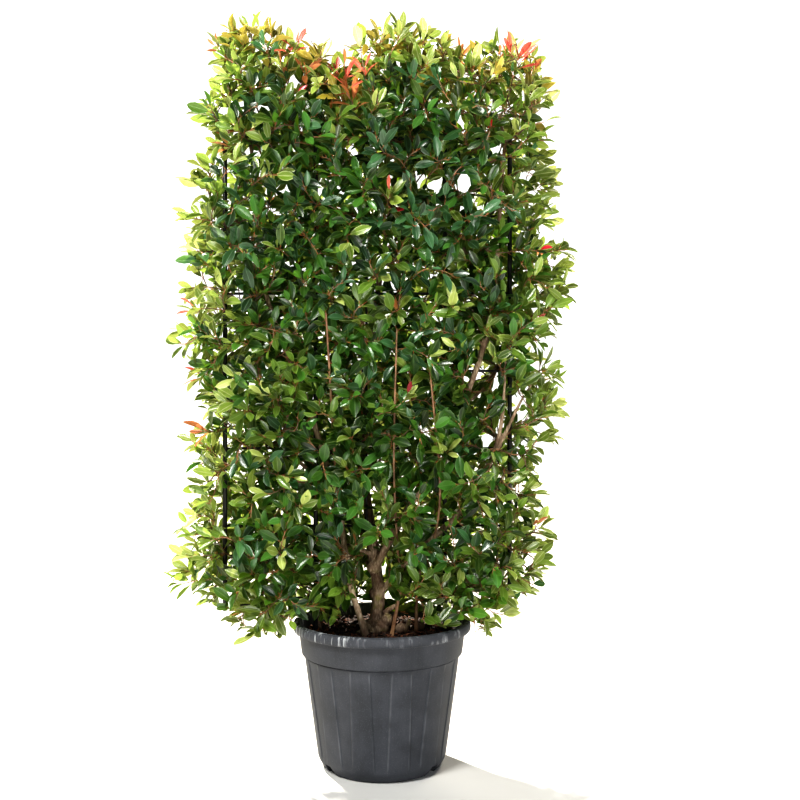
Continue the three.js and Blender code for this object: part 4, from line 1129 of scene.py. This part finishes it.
# the room that the crown fills
crown = {
    "halfDepth": 0.190,
    "square": 4,  # a higher power gives squarer corners
    "topRound": 0.100,
    "bottom": 0.340,
    "potRoom": 0.252,  # over the pot the crown stops at potTop
    "potTop": 0.391,
    # in front, the foot of the stems shows: half width, middle and height of the openings
    "bare": [(0.100, 0.000, 0.462), (0.040, -0.020, 0.600)],
    "bareDepth": -0.012,
    # heights and x of the two ends, and x and height of the ridge
    "left": [(0.362, -0.394), (0.480, -0.545), (0.514, -0.560), (0.567, -0.530), (0.621, -0.572),
             (0.729, -0.524), (0.860, -0.545), (0.940, -0.490), (1.010, -0.510), (1.157, -0.560),
             (1.300, -0.540), (1.586, -0.530), (1.640, -0.462), (1.747, -0.512), (1.850, -0.462),
             (1.980, -0.440)],
    "right": [(0.362, 0.296), (0.407, 0.330), (0.480, 0.445), (0.621, 0.468), (0.729, 0.418),
              (0.943, 0.480), (1.104, 0.462), (1.240, 0.500), (1.372, 0.500), (1.425, 0.478),
              (1.747, 0.456), (1.980, 0.440)],
    "ridge": [(-0.474, 2.000), (-0.294, 1.994), (-0.124, 1.918), (0.056, 2.010), (0.236, 1.916),
              (0.306, 1.972), (0.486, 1.904)],
    # small windows where the sky shows through: x, height, half width and half height
    "windows": [
        (-0.078, 1.634, 0.017, 0.015), (0.105, 1.563, 0.020, 0.024), (0.147, 1.540, 0.017, 0.024),
        (0.214, 1.550, 0.026, 0.027), (0.212, 1.716, 0.012, 0.016), (-0.236, 1.825, 0.020, 0.018),
        (0.316, 1.642, 0.015, 0.017), (0.256, 1.044, 0.024, 0.016), (0.300, 1.012, 0.014, 0.028),
        (0.358, 0.966, 0.022, 0.022), (0.374, 0.918, 0.022, 0.018), (0.278, 0.862, 0.015, 0.020),
        (0.378, 0.738, 0.021, 0.018), (-0.215, 0.792, 0.014, 0.014), (-0.303, 0.504, 0.018, 0.015),
        (0.110, 1.270, 0.010, 0.010), (-0.385, 1.250, 0.015, 0.014), (-0.300, 1.480, 0.013, 0.015),
        (0.316, 0.905, 0.013, 0.020), (-0.500, 1.528, 0.030, 0.020), (0.437, 1.735, 0.021, 0.022),
        (0.446, 1.405, 0.023, 0.020), (-0.104, 1.876, 0.010, 0.010), (-0.527, 0.812, 0.024, 0.019),
        (-0.354, 1.635, 0.018, 0.018), (-0.500, 1.300, 0.028, 0.018), (0.398, 0.543, 0.016, 0.019),
        (-0.464, 0.763, 0.014, 0.012), (-0.431, 1.743, 0.014, 0.013), (0.427, 0.890, 0.016, 0.018),
        (0.378, 1.559, 0.020, 0.016), (0.459, 1.341, 0.021, 0.022), (-0.443, 0.699, 0.018, 0.013),
    ],
    # and slots in front of the frame, the boughs and the shoots: the same, and how far back they are open
    "slots": [
        (0.343, 1.350, 0.016, 0.100, -0.012), (0.343, 0.900, 0.020, 0.140, -0.012),
        (0.343, 1.600, 0.014, 0.040, -0.012), (-0.416, 0.640, 0.016, 0.200, -0.012),
        (-0.416, 1.560, 0.014, 0.060, -0.012), (0.262, 1.030, 0.030, 0.090, -0.012),
        (0.300, 0.880, 0.028, 0.060, -0.012), (-0.030, 0.690, 0.024, 0.050, -0.012),
        (-0.168, 0.900, 0.018, 0.050, -0.012), (0.036, 0.720, 0.016, 0.140, -0.080),
        (0.042, 1.060, 0.018, 0.120, -0.125), (0.146, 0.690, 0.016, 0.080, -0.060),
        (0.124, 0.950, 0.018, 0.120, -0.120), (-0.142, 1.080, 0.018, 0.130, -0.125),
        (-0.100, 0.590, 0.018, 0.060, -0.030),
    ],
    # where the crown is airy: middle, height, half width and half height, and the share of leaves left out
    "airy": [
        (0.38, 1.78, 0.24, 0.15, 0.34), (0.38, 0.62, 0.22, 0.28, 0.34), (0.30, 1.52, 0.22, 0.10, 0.20),
        (-0.48, 1.45, 0.12, 0.30, 0.22), (-0.45, 0.75, 0.14, 0.20, 0.10),
    ],
    "ragged": 0.8,  # how uneven the edges of windows and slots are, and over what lengths
    "teeth": ((0.0045, 0.02), (0.005, 0.03)),
    "wave": (0.034, 0.046, 0.052, 0.050),  # how far the masses reach into each other, and over what lengths
    "border": 0.0022,
    "riseWithin": 0.30,  # this far under the ridge, shoots start to turn upwards
    "deepening": 1.2,
}


def along(table, t):
    keys, values = zip(*table)
    return np.interp(t, keys, values)


def crownAt(points):
    left, right = along(crown["left"], points[:, 2]), along(crown["right"], points[:, 2])
    across = (2 * points[:, 0] - left - right) / (right - left)
    return across, points[:, 1] / crown["halfDepth"], along(crown["ridge"], points[:, 0])


def fromMiddle(x, z, middle, height, halfWidth, halfHeight):  # less than 1 inside the oval
    return ((x - middle) / halfWidth) ** 2 + ((z - height) / halfHeight) ** 2


def isOpen(points):  # in a window, which is a cone from the eye, or in a slot
    x, y, z = points.T
    eyeX, eyeY, eyeZ = stage["viewPoint"]
    nearer = eyeY / (eyeY - y)
    seenX, seenZ = eyeX + (x - eyeX) * nearer, eyeZ + (z - eyeZ) * nearer
    found = np.zeros(len(points), bool)
    (width, lean), (height, slope) = crown["teeth"]
    teeth = np.sin(seenX / width + seenZ / lean) * np.sin(seenZ / height + seenX / slope)
    edge = 1 + crown["ragged"] * teeth
    for window in crown["windows"]:
        found |= fromMiddle(seenX, seenZ, *window) < edge
    for *slot, depth in crown["slots"]:
        found |= (fromMiddle(seenX, seenZ, *slot) < edge) & (y < depth)
    return found


def airiness(points):  # the share of leaves left out
    shares = np.zeros(len(points))
    for *oval, share in crown["airy"]:
        inside = fromMiddle(points[:, 0], points[:, 2], *oval) < 1
        shares = np.where(inside, np.maximum(shares, share), shares)
    return shares


def inCrown(points, extra=0.0):  # extra widens the crown, or draws it in
    x, y, z = points.T
    left, right = along(crown["left"], z) - extra, along(crown["right"], z) + extra
    across = (2 * x - left - right) / (right - left)
    deep = y / (crown["halfDepth"] + extra)
    inside = np.abs(across) ** crown["square"] + np.abs(deep) ** crown["square"] < 1
    inside &= z < along(crown["ridge"], x) + extra - crown["topRound"] * deep**2
    for half, middle, top in crown["bare"]:
        inside &= ~((y < crown["bareDepth"]) & (np.abs(x - middle) < half) & (z < top))
    return inside & (z > np.where(np.hypot(x, y) < crown["potRoom"], crown["potTop"], crown["bottom"]))


def outward(points):  # the way out of the crown, longer the nearer the outline is
    across, deep, ridge = crownAt(points)
    rise = np.clip((points[:, 2] - ridge + crown["riseWithin"]) / crown["riseWithin"], 0, 1)
    return np.stack([across**3, crown["deepening"] * deep**3, rise * rise * (3 - 2 * rise)], axis=1)


masses = []
for side, names in carriers.items():
    for row, bough in enumerate(names):
        low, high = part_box(f"foliage_{side}_{row + 1}")
        masses.append({"bough": bough, "centre": np.array((low + high) / 2) * (1, 0, 1)})
centres = np.array([mass["centre"] for mass in masses])


def inCell(points, own):  # the masses meet in waves and reach into each other
    size, waveX, waveY, waveZ = crown["wave"]
    x, y, z = points.T
    wavyX = x + size * np.sin(z / waveZ + y / waveY)
    wavyZ = z + size * np.sin(x / waveX - y / waveY + 1)
    squares = (wavyX[:, None] - centres[:, 0]) ** 2 + (wavyZ[:, None] - centres[:, 2]) ** 2
    apart = np.linalg.norm(centres - centres[own], axis=1)
    apart[own] = 1
    room = (squares - squares[:, own:own + 1]) / (2 * apart)
    room[:, own] = 1
    return room.min(axis=1) > crown["border"]


segmentStarts, segmentEnds, segmentRadii = [], [], []
for limb in limbs.values():
    segmentStarts.append(limb["points"][:-1:2])
    segmentEnds.append(limb["points"][1::2][:len(limb["points"][:-1:2])])
    segmentRadii.append(limb["radii"][:-1:2])
for name in nodeNames:
    if name.startswith("frame"):
        start, end, radius = barEnds(name)
        segmentStarts.append(np.array([start]))
        segmentEnds.append(np.array([end]))
        segmentRadii.append(np.array([radius]))
segmentStarts = np.concatenate(segmentStarts)
segmentEnds = np.concatenate(segmentEnds)
segmentRadii = np.concatenate(segmentRadii)
segmentRuns = segmentEnds - segmentStarts
segmentSquares = (segmentRuns**2).sum(axis=1)


def isClear(points, margin):  # clear of every limb and bar
    from0 = points[:, None] - segmentStarts
    share = np.clip((from0 * segmentRuns).sum(axis=2) / segmentSquares, 0, 1)
    apart = np.linalg.norm(from0 - share[..., None] * segmentRuns, axis=2)
    return (apart > segmentRadii + margin).all(axis=1)


# twigs, grown from the tip of each bough
twigSizes = {
    "perMass": 155,
    "tries": 40,  # spots looked at for each tip: the one with most room is taken
    "spread": (0.440, 0.380, 0.400),
    "inset": 0.042,  # the tips stay this far inside the outline
    "stem": 0.030,
    "wayShare": 0.3,  # what the way back to the root counts against the gap
    "sway": 0.14,  # how far a twig goes on the way its bearer goes, and upwards, as shares of its length
    "lift": 0.05,
    "clear": 0.003,
    "tipClear": 0.010,
    "radii": (0.0046, 0.0021, 0.0010),  # at the root, half way and at the tips
    "sides": 5,
    "step": 0.014,
    "youngLength": 0.070,
    "thinning": 0.8,  # of a shoot against the twig that bears it
    "leaders": (0.40, 0.60, 0.026),  # share of the outermost shoots that run on, from where, and how far
    "leaderTurn": 1.5,
    "leaderSpread": (1, 0.3, 1),
    "wayStep": 0.008,  # between the places where a way is tried
    "stemTries": 60,
    "stemReach": 0.55,  # how far from the root the first fork is, towards the middle of the mass
    "stemDepth": 0.8,
    "stemShift": 0.002,  # how much further aside each try may go
    "parentsTried": 8,
    "smooth": 50,
    "seed": 2100,
}


def wayIsFree(a, b, own):
    count = max(3, int(np.linalg.norm(b - a) / twigSizes["wayStep"]))
    points = a + (b - a) * np.linspace(0, 1, count)[:, None]
    return bool((inCell(points, own) & isClear(points, twigSizes["clear"])).all())


def growMass(own):
    # The rule of growth: tips are scattered through the mass, and taken from the nearest to the farthest.
    # Each is joined to the twig that gives the shortest way back to the root, by a piece that bows upwards.
    mass = masses[own]
    rng = np.random.default_rng(twigSizes["seed"] + own)
    bough = limbs[mass["bough"]]["points"]
    tipWay = unit(bough[-1] - bough[-2])
    places, ways, reach, parents = [bough[-1]], [tipWay], [0.0], [-1]

    def grow(parent, place):
        places.append(place)
        ways.append(unit(place - places[parent]))
        reach.append(reach[parent] + np.linalg.norm(place - places[parent]))
        parents.append(parent)
        return len(places) - 1

    first = grow(0, bough[-1] + twigSizes["stem"] * tipWay)
    for tries in range(twigSizes["stemTries"]):
        middle = places[first] + twigSizes["stemReach"] * (mass["centre"] - places[first])
        middle[1] = twigSizes["stemDepth"] * places[first][1]
        middle += twigSizes["stemShift"] * tries * (rng.random(3) - 0.5)
        if wayIsFree(places[first], middle, own):
            grow(first, middle)
            break

    tips = []
    for _ in range(twigSizes["perMass"]):
        spots = mass["centre"] + (rng.random((twigSizes["tries"], 3)) - 0.5) * twigSizes["spread"]
        free = inCrown(spots, -twigSizes["inset"]) & ~isOpen(spots) & inCell(spots, own)
        free &= isClear(spots, twigSizes["tipClear"])
        spots = spots[free]
        if not len(spots):
            continue
        if tips:
            room = np.linalg.norm(spots[:, None] - np.array(tips), axis=2).min(axis=1)
            spots = spots[room.argmax():room.argmax() + 1]
        tips.append(spots[0])
    tips.sort(key=lambda tip: np.linalg.norm(tip - places[0]))

    shoots = []
    for tip in tips:
        gaps = np.linalg.norm(np.array(places[1:]) - tip, axis=1)
        order = np.argsort(gaps + twigSizes["wayShare"] * np.array(reach[1:])) + 1
        for parent in order[:twigSizes["parentsTried"]]:
            length = np.linalg.norm(tip - places[parent])
            bend = (places[parent] + tip) / 2 + twigSizes["sway"] * length * ways[parent]
            bend[2] += twigSizes["lift"] * length
            if wayIsFree(places[parent], bend, own) and wayIsFree(bend, tip, own):
                shoots.append(grow(grow(parent, bend), tip))
                break
    return {"places": places, "reach": reach, "parents": parents, "shoots": shoots}


growths = [growMass(own) for own in range(len(masses))]
print("twigs are grown:", sum(len(growth["shoots"]) for growth in growths), "shoots")


def tubeMesh(runs, sides):  # closed round skins along runs of points, as arrays
    allPoints, allFaces, count = [], [], 0
    turns = np.arange(sides) * 2 * pi / sides
    for points, radii in runs:
        along = unit(np.gradient(np.asarray(points), axis=0))
        side = unit(np.cross(along, (0.31, 0.94, 0.12)))  # any way that no run takes
        across = np.cross(along, side)
        rings = (points[:, None] + radii[:, None, None]
                 * (side[:, None] * np.cos(turns)[:, None] + across[:, None] * np.sin(turns)[:, None]))
        allPoints.append(rings.reshape(-1, 3))
        for r in range(len(points) - 1):
            for i in range(sides):
                a, b = count + r * sides + i, count + r * sides + (i + 1) % sides
                allFaces.append((a, b, b + sides, a + sides))
        last = count + (len(points) - 1) * sides
        allFaces.append(tuple(count + i for i in range(sides))[::-1])
        allFaces.append(tuple(last + i for i in range(sides)))
        count += len(points) * sides
    return np.concatenate(allPoints), allFaces


def buildTwigs():
    old, young, ends = [], [], []
    rng = np.random.default_rng(twigSizes["seed"] - 1)
    leaderShare, outermost, extra = twigSizes["leaders"]
    for growth, mass in zip(growths, masses):
        places, parents, reach = growth["places"], growth["parents"], growth["reach"]

        def radius(k):
            return np.interp(reach[k] / max(reach), [0, 0.5, 1], twigSizes["radii"])
        stem = [0, 1] + ([2] if parents[2] == 1 else [])
        run = smoothRun([places[k] for k in stem], twigSizes["wayStep"])
        old.append((run, np.linspace(limbs[mass["bough"]]["radii"][-1], radius(stem[-1]), len(run))))
        for tip in growth["shoots"]:
            bend = parents[tip]
            run = smoothRun([places[parents[bend]], places[bend], places[tip]], twigSizes["step"])
            out = outward(run[-1:])[0] * twigSizes["leaderSpread"]
            if np.linalg.norm(out) > outermost and rng.random() < leaderShare:
                way = unit(unit(run[-1] - run[-2]) + twigSizes["leaderTurn"] * out)
                run = np.vstack([run, run[-1] + 0.5 * extra * way, run[-1] + extra * way])
            radii = np.interp(np.linspace(0, 1, len(run)), [0, 1],
                              [twigSizes["thinning"] * radius(parents[bend]), twigSizes["radii"][2]])
            youngCount = min(len(run) - 2, int(twigSizes["youngLength"] / twigSizes["step"]))
            old.append((run[:len(run) - youngCount + 1], radii[:len(run) - youngCount + 1]))
            young.append((run[len(run) - youngCount:], radii[len(run) - youngCount:]))
            ends.append(run)
    for name in frontShoots:
        young.append((limbs[name]["points"], limbs[name]["radii"]))
    return old, young, ends


oldTwigs, youngTwigs, shootRuns = buildTwigs()
for name, runs, finish, slot, nodes in (("ripenedTwigs", oldTwigs, twigBark, "bark", foliageNodes),
                                        ("youngShoots", youngTwigs, shootBark, "young_bark", frontShoots)):
    piece = pieceFrom(name, *tubeMesh(runs, twigSizes["sides"]), [finish])
    smoothBy(piece, twigSizes["smooth"])
    finished(piece, slot, *nodes)
print("twigs are built")


# leaves, in a spiral round each shoot
leafSizes = {
    "lengths": (0.038, 0.067),
    "widthShare": 0.41,
    "youngWidth": 0.76,  # share of that width in the coloured new leaves
    "stations": (0.0, 0.15, 0.40, 0.66, 0.88, 1.0),
    "widths": (0.0, 0.42, 0.88, 0.98, 0.56, 0.0),
    "fold": (0.20, 0.75),
    "arch": (-0.02, 0.32),
    "stalk": (0.006, 0.011),
    "stalkRadius": 0.0008,
    "stalkInBlade": 0.004,
    "widthSpread": (0.88, 0.24),
    "perShoot": (10, 15),
    "perFork": 3,  # leaves at each of the places up the bare front shoots, from where, and how many places
    "forksFrom": 0.40,
    "forks": 15,
    "forkPoints": 9,
    "spacing": 0.0066,
    "firstBelow": 0.002,
    "wider": 0.05,  # what the spacing grows by with each leaf
    "tipLengths": ([0, 1, 3], [0.62, 0.85, 1]),  # the youngest leaves of a shoot are short
    "redLength": 0.7,
    "paleLength": 0.95,
    "openAngles": (20, 108),
    "openSpread": 9,
    "goldenAngle": 137.5,
    "secondTurn": 67,  # where a leaf has no room it is tried further round
    "turns": 4,
    "droop": 0.28,
    "shootLean": (0.5, 0.8, 0.3),  # towards the shoot's own way, outwards and up
    "facingOut": (0.8, 1, 0.6),
    "facingLight": (0.7, 0.6),  # to the front or back, and up
    "facingChange": 0.05,  # the depth over which front turns to back
    "facing": (0.6, 0.25, 0.48),  # with the shoot, to the leaf's own side, and by chance
    "redFacing": 1.5,
    "tone": (0.24, 0.2, 0.34),  # the middle, and the spread among shoots and among leaves
    "beyond": 0.014,  # leaf tips may pass the outline by this, and those of leaders by more
    "leaderBeyond": 0.018,
    "leaderMargin": 0.002,
    "checkedAt": (0.15, 0.5, 0.75, 1.0),  # along the blade
    "archPower": 1.8,
    "clear": 0.001,
    "seed": 77,
}
tintRules = {
    # how lit a shoot is: its level at the top, the left, the right, the foot and the back, and the distance
    # over which that falls by one (across the crown in half widths, otherwise in metres)
    "top": (1.0, 0.22),
    "left": (0.86, 0.36),
    "leftLow": (1.25, 0.5, 0.18),  # the lit left side widens below this height, over this, by this
    "right": (0.90, 0.32),
    "foot": (0.30, 0.36, 0.60),
    "back": (0.50, 0.02, 0.14),
    "chance": 0.46,
    "strays": ((0.20, 0.4), (0.09, 0.9)),  # shares of shoots lighter than their place, and by how much
    "mid": 0.10,  # a shoot is mid green from this level and fresh from that
    "fresh": 0.64,
    "cool": 0.36,  # share of the deep green shoots that lean to blue, a painted shade on the least lit shoots, and how that changes with height
    "coolByHeight": ([0.9, 1.6], [0.5, 1.5]),
    "golden": (0.75, 1.4),  # share of the fresh shoots that are ochre, at the top
    "newestAndSunlit": (0.02, 0.34),  # share of the shoots with pale tips, in shade and what light adds to it; those that light adds are painted patches of sunlight
    "newestAndSunlitLeaves": (1, 5),
    "blush": 0.22,  # share of the lit shoots whose youngest leaves are amber, and what is left of it inside
    "blushInside": 0.15,
    "blushFrom": (0.2, -0.5),
    "blushLeaves": (1, 4),
    "frontOf": 0.02,
    "nearFront": (-0.09, 0.06),  # shoots in front of this are preferred by that much
    # some young shoots behind: from what depth, between what levels of the top, how far across, and how many
    "hidden": (0.09, 0.1, 0.6, 0.7, 8),
    "hiddenLeaves": 4,
    # single shoots with a tint of their own: x, height, tint and how many of their leaves have it
    "accents": [
        (0.340, 1.948, "Coral", 7), (0.380, 1.925, "Coral", 5), (-0.126, 1.841, "Coral", 9),
        (-0.150, 1.890, "Coral", 6), (-0.100, 1.810, "Coral", 7), (-0.085, 1.765, "Amber", 6),
        (-0.170, 1.850, "Amber", 5), (-0.088, 1.826, "Coral", 4), (0.032, 1.450, "Red", 1),
        (0.053, 1.488, "Coral", 1), (0.404, 1.408, "Red", 1), (0.262, 1.675, "Red", 1),
        (-0.231, 1.734, "Red", 1), (0.418, 1.179, "Coral", 2), (-0.501, 1.184, "Coral", 3),
        (-0.515, 1.023, "Coral", 3), (-0.488, 0.889, "Amber", 4), (0.035, 1.197, "Amber", 2),
        (-0.081, 0.635, "Amber", 1), (0.423, 0.662, "Amber", 2), (-0.118, 1.653, "Fresh", 12),
        (-0.065, 1.157, "Red", 1), (0.085, 0.985, "Red", 1), (-0.092, 1.345, "Pale", 4),
        (-0.137, 1.220, "Pale", 3), (-0.199, 0.683, "Pale", 4), (-0.242, 0.560, "Pale", 4),
        (-0.330, 1.560, "Pale", 5), (-0.290, 1.600, "Pale", 4), (0.160, 0.487, "Fresh", 6),
        (0.230, 1.190, "Fresh", 5), (-0.370, 1.540, "Pale", 4),
    ],
}


def howLit(tips, top, across, rng):
    lowTop, lowOver, lowWider = tintRules["leftLow"]
    low = np.clip((lowTop - tips[:, 2]) / lowOver, 0, 1)
    left = tintRules["left"][0] - (across + 1) / (tintRules["left"][1] + lowWider * low)
    right = tintRules["right"][0] - (1 - across) / tintRules["right"][1]
    level, height, over = tintRules["foot"]
    foot = level - (tips[:, 2] - height) / over
    level, depth, over = tintRules["back"]
    behind = level * (tips[:, 1] - depth) / over
    lit = np.maximum.reduce([top, left, right, foot, behind])
    lit = lit + tintRules["chance"] * rng.normal(size=len(tips))
    stray = rng.random(len(tips))
    (lighter, byThis), (lightest, byThat) = tintRules["strays"]
    return np.where(stray < lighter, lit + byThis, np.where(stray > 1 - lightest, lit + byThat, lit))


def dealTints(tips, rng):  # the tint of each shoot, and of its youngest leaves: painted light, with lighter and yellower tints where a shoot is lit, deep green and blue-green ones in shade
    across, _, ridge = crownAt(tips)
    top = tintRules["top"][0] - (ridge - tips[:, 2]) / tintRules["top"][1]
    lit = howLit(tips, top, across, rng)
    kinds = np.where(lit > tintRules["fresh"], "Fresh", np.where(lit > tintRules["mid"], "Mid", "Deep"))
    # painted shade: the blue-green tint goes only to deep green, least lit shoots
    cooler = rng.random(len(tips)) < tintRules["cool"] * np.interp(tips[:, 2], *tintRules["coolByHeight"])
    kinds = np.where((kinds == "Deep") & cooler, "Cool", kinds)
    goldenShare, goldenRise = tintRules["golden"]
    golden = rng.random(len(tips)) < goldenShare * np.clip(goldenRise * top, 0, 1)
    kinds = np.where((kinds == "Fresh") & golden, "Ochre", kinds)
    young = [None] * len(tips)
    front = tips[:, 1] < tintRules["frontOf"]
    nearFront, preferred = tintRules["nearFront"]
    for x, height, tint, count in tintRules["accents"]:
        apart = np.hypot(tips[:, 0] - x, tips[:, 2] - height) - preferred * (tips[:, 1] < nearFront)
        apart += np.where(front, 0, 1) + [young[k] is not None for k in range(len(tips))]
        young[int(apart.argmin())] = (tint, count)
    depth, topLeast, topMost, aside, most = tintRules["hidden"]
    hidden = (tips[:, 1] > depth) & (top > topLeast) & (top < topMost) & (np.abs(across) < aside)
    for k in rng.permutation(np.flatnonzero(hidden))[:most]:  # the back has its share too
        young[k] = ("Coral" if k % 2 else "Amber", tintRules["hiddenLeaves"])
    # pale tips, more of them where a shoot is lit: in part painted patches of sunlight
    inShade, inLight = tintRules["newestAndSunlit"]
    newestAndSunlit = rng.random(len(tips)) < inShade + inLight * np.clip(lit, 0, 1)
    for k in np.flatnonzero(newestAndSunlit):
        young[k] = young[k] or ("Pale", int(rng.integers(*tintRules["newestAndSunlitLeaves"])))
    atTop, atLeft = tintRules["blushFrom"]
    outside = np.where((top > atTop) | (across < atLeft), 1, tintRules["blushInside"])
    blushed = rng.random(len(tips)) < tintRules["blush"] * outside
    for k in np.flatnonzero(np.isin(kinds, ("Fresh", "Ochre")) & blushed):
        young[k] = young[k] or ("Amber", int(rng.integers(*tintRules["blushLeaves"])))
    return kinds, young


def placeLeaves():
    rng = np.random.default_rng(leafSizes["seed"])
    runs = list(shootRuns)
    for name in frontShoots:  # leaves up the bare front shoots too
        points = limbs[name]["points"]
        for share in np.linspace(leafSizes["forksFrom"], 1, leafSizes["forks"]):
            end = int(share * (len(points) - 1))
            runs.append(points[max(0, end - leafSizes["forkPoints"]):end + 1])
    tips = np.array([run[-1] for run in runs])
    kinds, young = dealTints(tips, rng)
    outs = outward(tips)
    airy = airiness(tips)
    leaves = {tint: [] for tint in leafTints}
    byAxis, byOut, byLight = leafSizes["shootLean"]
    toFace, toSky = leafSizes["facingLight"]
    withShoot, toSide, byChance = leafSizes["facing"]
    middleTone, amongShoots, amongLeaves = leafSizes["tone"]
    shortest, longest = leafSizes["lengths"]
    checkedAt = np.array(leafSizes["checkedAt"])[:, None]
    for k, run in enumerate(runs):
        way = np.concatenate([[0], np.cumsum(np.linalg.norm(np.diff(run[::-1], axis=0), axis=1))])
        axis = unit(run[-1] - run[-2])
        out = outs[k]
        lean = unit(byAxis * axis + byOut * out + (0, 0, byLight))
        base = unit(np.cross(lean, (1, 0.1, 0)))  # any way that no shoot leans
        other = np.cross(lean, base)
        face = np.tanh(tips[k, 1] / leafSizes["facingChange"])
        facing = out * leafSizes["facingOut"] + (0, face * toFace, toSky)
        count = rng.integers(*leafSizes["perShoot"]) if k < len(shootRuns) else leafSizes["perFork"]
        first = rng.random() * 360
        tint, tinted = young[k] or (kinds[k], count)
        shootTone = amongShoots * rng.normal()
        leader = not inCrown(run[-1:], -twigSizes["inset"] + leafSizes["leaderMargin"])[0]
        beyond = leafSizes["beyond"] + (leafSizes["leaderBeyond"] if leader else 0)
        for i in range(count):
            below = leafSizes["firstBelow"] + leafSizes["spacing"] * i * (1 + leafSizes["wider"] * i)
            if below > way[-1]:
                break
            if young[k] is None and rng.random() < airy[k]:
                continue
            root = np.array([np.interp(below, way, run[::-1, c]) for c in range(3)])
            share = i / max(1, count - 1)
            opening = np.interp(share, [0, 1], leafSizes["openAngles"])
            opening = opening + leafSizes["openSpread"] * rng.normal()
            length = shortest + (longest - shortest) * rng.random()
            kind = tint if i < tinted else "Fresh" if young[k] and tint != "Pale" else kinds[k]
            if kind in ("Red", "Pale"):
                length *= leafSizes["redLength" if kind == "Red" else "paleLength"]
            else:
                length *= np.interp(i, *leafSizes["tipLengths"])
            for attempt in range(leafSizes["turns"]):
                turn = radians(first + leafSizes["goldenAngle"] * i + leafSizes["secondTurn"] * attempt)
                aside = base * cos(turn) + other * sin(turn)
                direction = lean * cos(radians(opening)) + aside * sin(radians(opening))
                direction = unit(direction - (0, 0, leafSizes["droop"] * share * rng.random()))
                stalk = np.interp(rng.random(), [0, 1], leafSizes["stalk"])
                foot = root + stalk * direction
                marks = foot + direction * length * checkedAt
                if (inCrown(marks, beyond).all() and not isOpen(marks[1:3]).any()
                        and isClear(marks, leafSizes["clear"]).all()):
                    normal = withShoot * lean + facing + toSide * aside + byChance * rng.normal(size=3)
                    normal[1] += leafSizes["redFacing"] * np.sign(tips[k, 1]) * (kind == "Red")
                    tone = middleTone + shootTone + amongLeaves * rng.normal()
                    leaves[kind].append((root, foot, direction, normal, length, tone))
                    break
    return leaves


def bladeArrays(leaves, widthShare, rng):  # points, faces and UV marks of folded, arched blades
    foot, direction, normal, length, tone = (np.array(column) for column in list(zip(*leaves))[1:])
    normal = unit(normal - direction * (normal * direction).sum(axis=1, keepdims=True))
    side = np.cross(direction, normal)
    fold = np.interp(rng.random(len(leaves)), [0, 1], leafSizes["fold"])
    arch = np.interp(rng.random(len(leaves)), [0, 1], leafSizes["arch"])
    least, more = leafSizes["widthSpread"]
    half = length * widthShare / 2 * (least + more * rng.random(len(leaves)))
    points, marks = [], []
    for station, width in zip(leafSizes["stations"], leafSizes["widths"]):
        for across in ((0,) if width == 0 else (-1, 0, 1)):
            rise = fold * half * width * abs(across) - arch * length * station ** leafSizes["archPower"]
            points.append(foot + direction * (length * station)[:, None]
                          + side * (half * width * across)[:, None] + normal * rise[:, None])
            marks.append((0.5 + 0.5 * across, station))
    points = np.stack(points, axis=1)
    count = points.shape[1]
    faces = [(0, 2, 1), (0, 3, 2)]
    for row in range(len(leafSizes["stations"]) - 3):
        a = 1 + 3 * row
        faces += [(a, a + 1, a + 4, a + 3), (a + 1, a + 2, a + 5, a + 4)]
    faces += [(count - 4, count - 3, count - 1), (count - 3, count - 2, count - 1)]
    return points, faces, np.array(marks), tone


def buildLeafPiece(name, group, tint, rng):
    widthShare = leafSizes["widthShare"] * (leafSizes["youngWidth"] if tint in ("Amber", "Coral") else 1)
    points, faces, marks, tone = bladeArrays(group, widthShare, rng)
    count = points.shape[1]
    allFaces = [tuple(i + n * count for i in face) for n in range(len(group)) for face in faces]
    piece = pieceFrom(name, points.reshape(-1, 3), allFaces, [leafFinishes[tint]])
    loops = np.zeros(len(piece.data.loops), int)
    piece.data.loops.foreach_get("vertex_index", loops)
    piece.data.uv_layers.new(name="blade").data.foreach_set("uv", marks[loops % count].ravel())
    piece.data.attributes.new("tone", "FLOAT", "POINT").data.foreach_set("value", np.repeat(tone, count))
    selectOnly(piece)
    bpy.ops.object.shade_smooth()
    finished(piece, "foliage", *foliageNodes)
    print(name, len(group))


def buildLeaves():
    rng = np.random.default_rng(leafSizes["seed"] + 1)
    leaves = placeLeaves()
    for tint, group in leaves.items():
        buildLeafPiece("leaves" + tint, group, tint, rng)
    radii = np.full(2, leafSizes["stalkRadius"])
    stalks = [(np.array([root, foot + leafSizes["stalkInBlade"] * direction]), radii)
              for group in leaves.values() for root, foot, direction, *_ in group]
    points, faces = tubeMesh(stalks, 3)
    piece = pieceFrom("leafStalks", points, faces, [stalkSkin])
    selectOnly(piece)
    bpy.ops.object.shade_smooth()
    finished(piece, "young_bark")


buildLeaves()
print("leaves are out")

for piece in bpy.data.objects:
    if piece.type == "MESH" and "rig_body" in piece and "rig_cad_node" not in piece:
        piece.data.calc_loop_triangles()
        print(piece.name, len(piece.data.loop_triangles), "triangles")
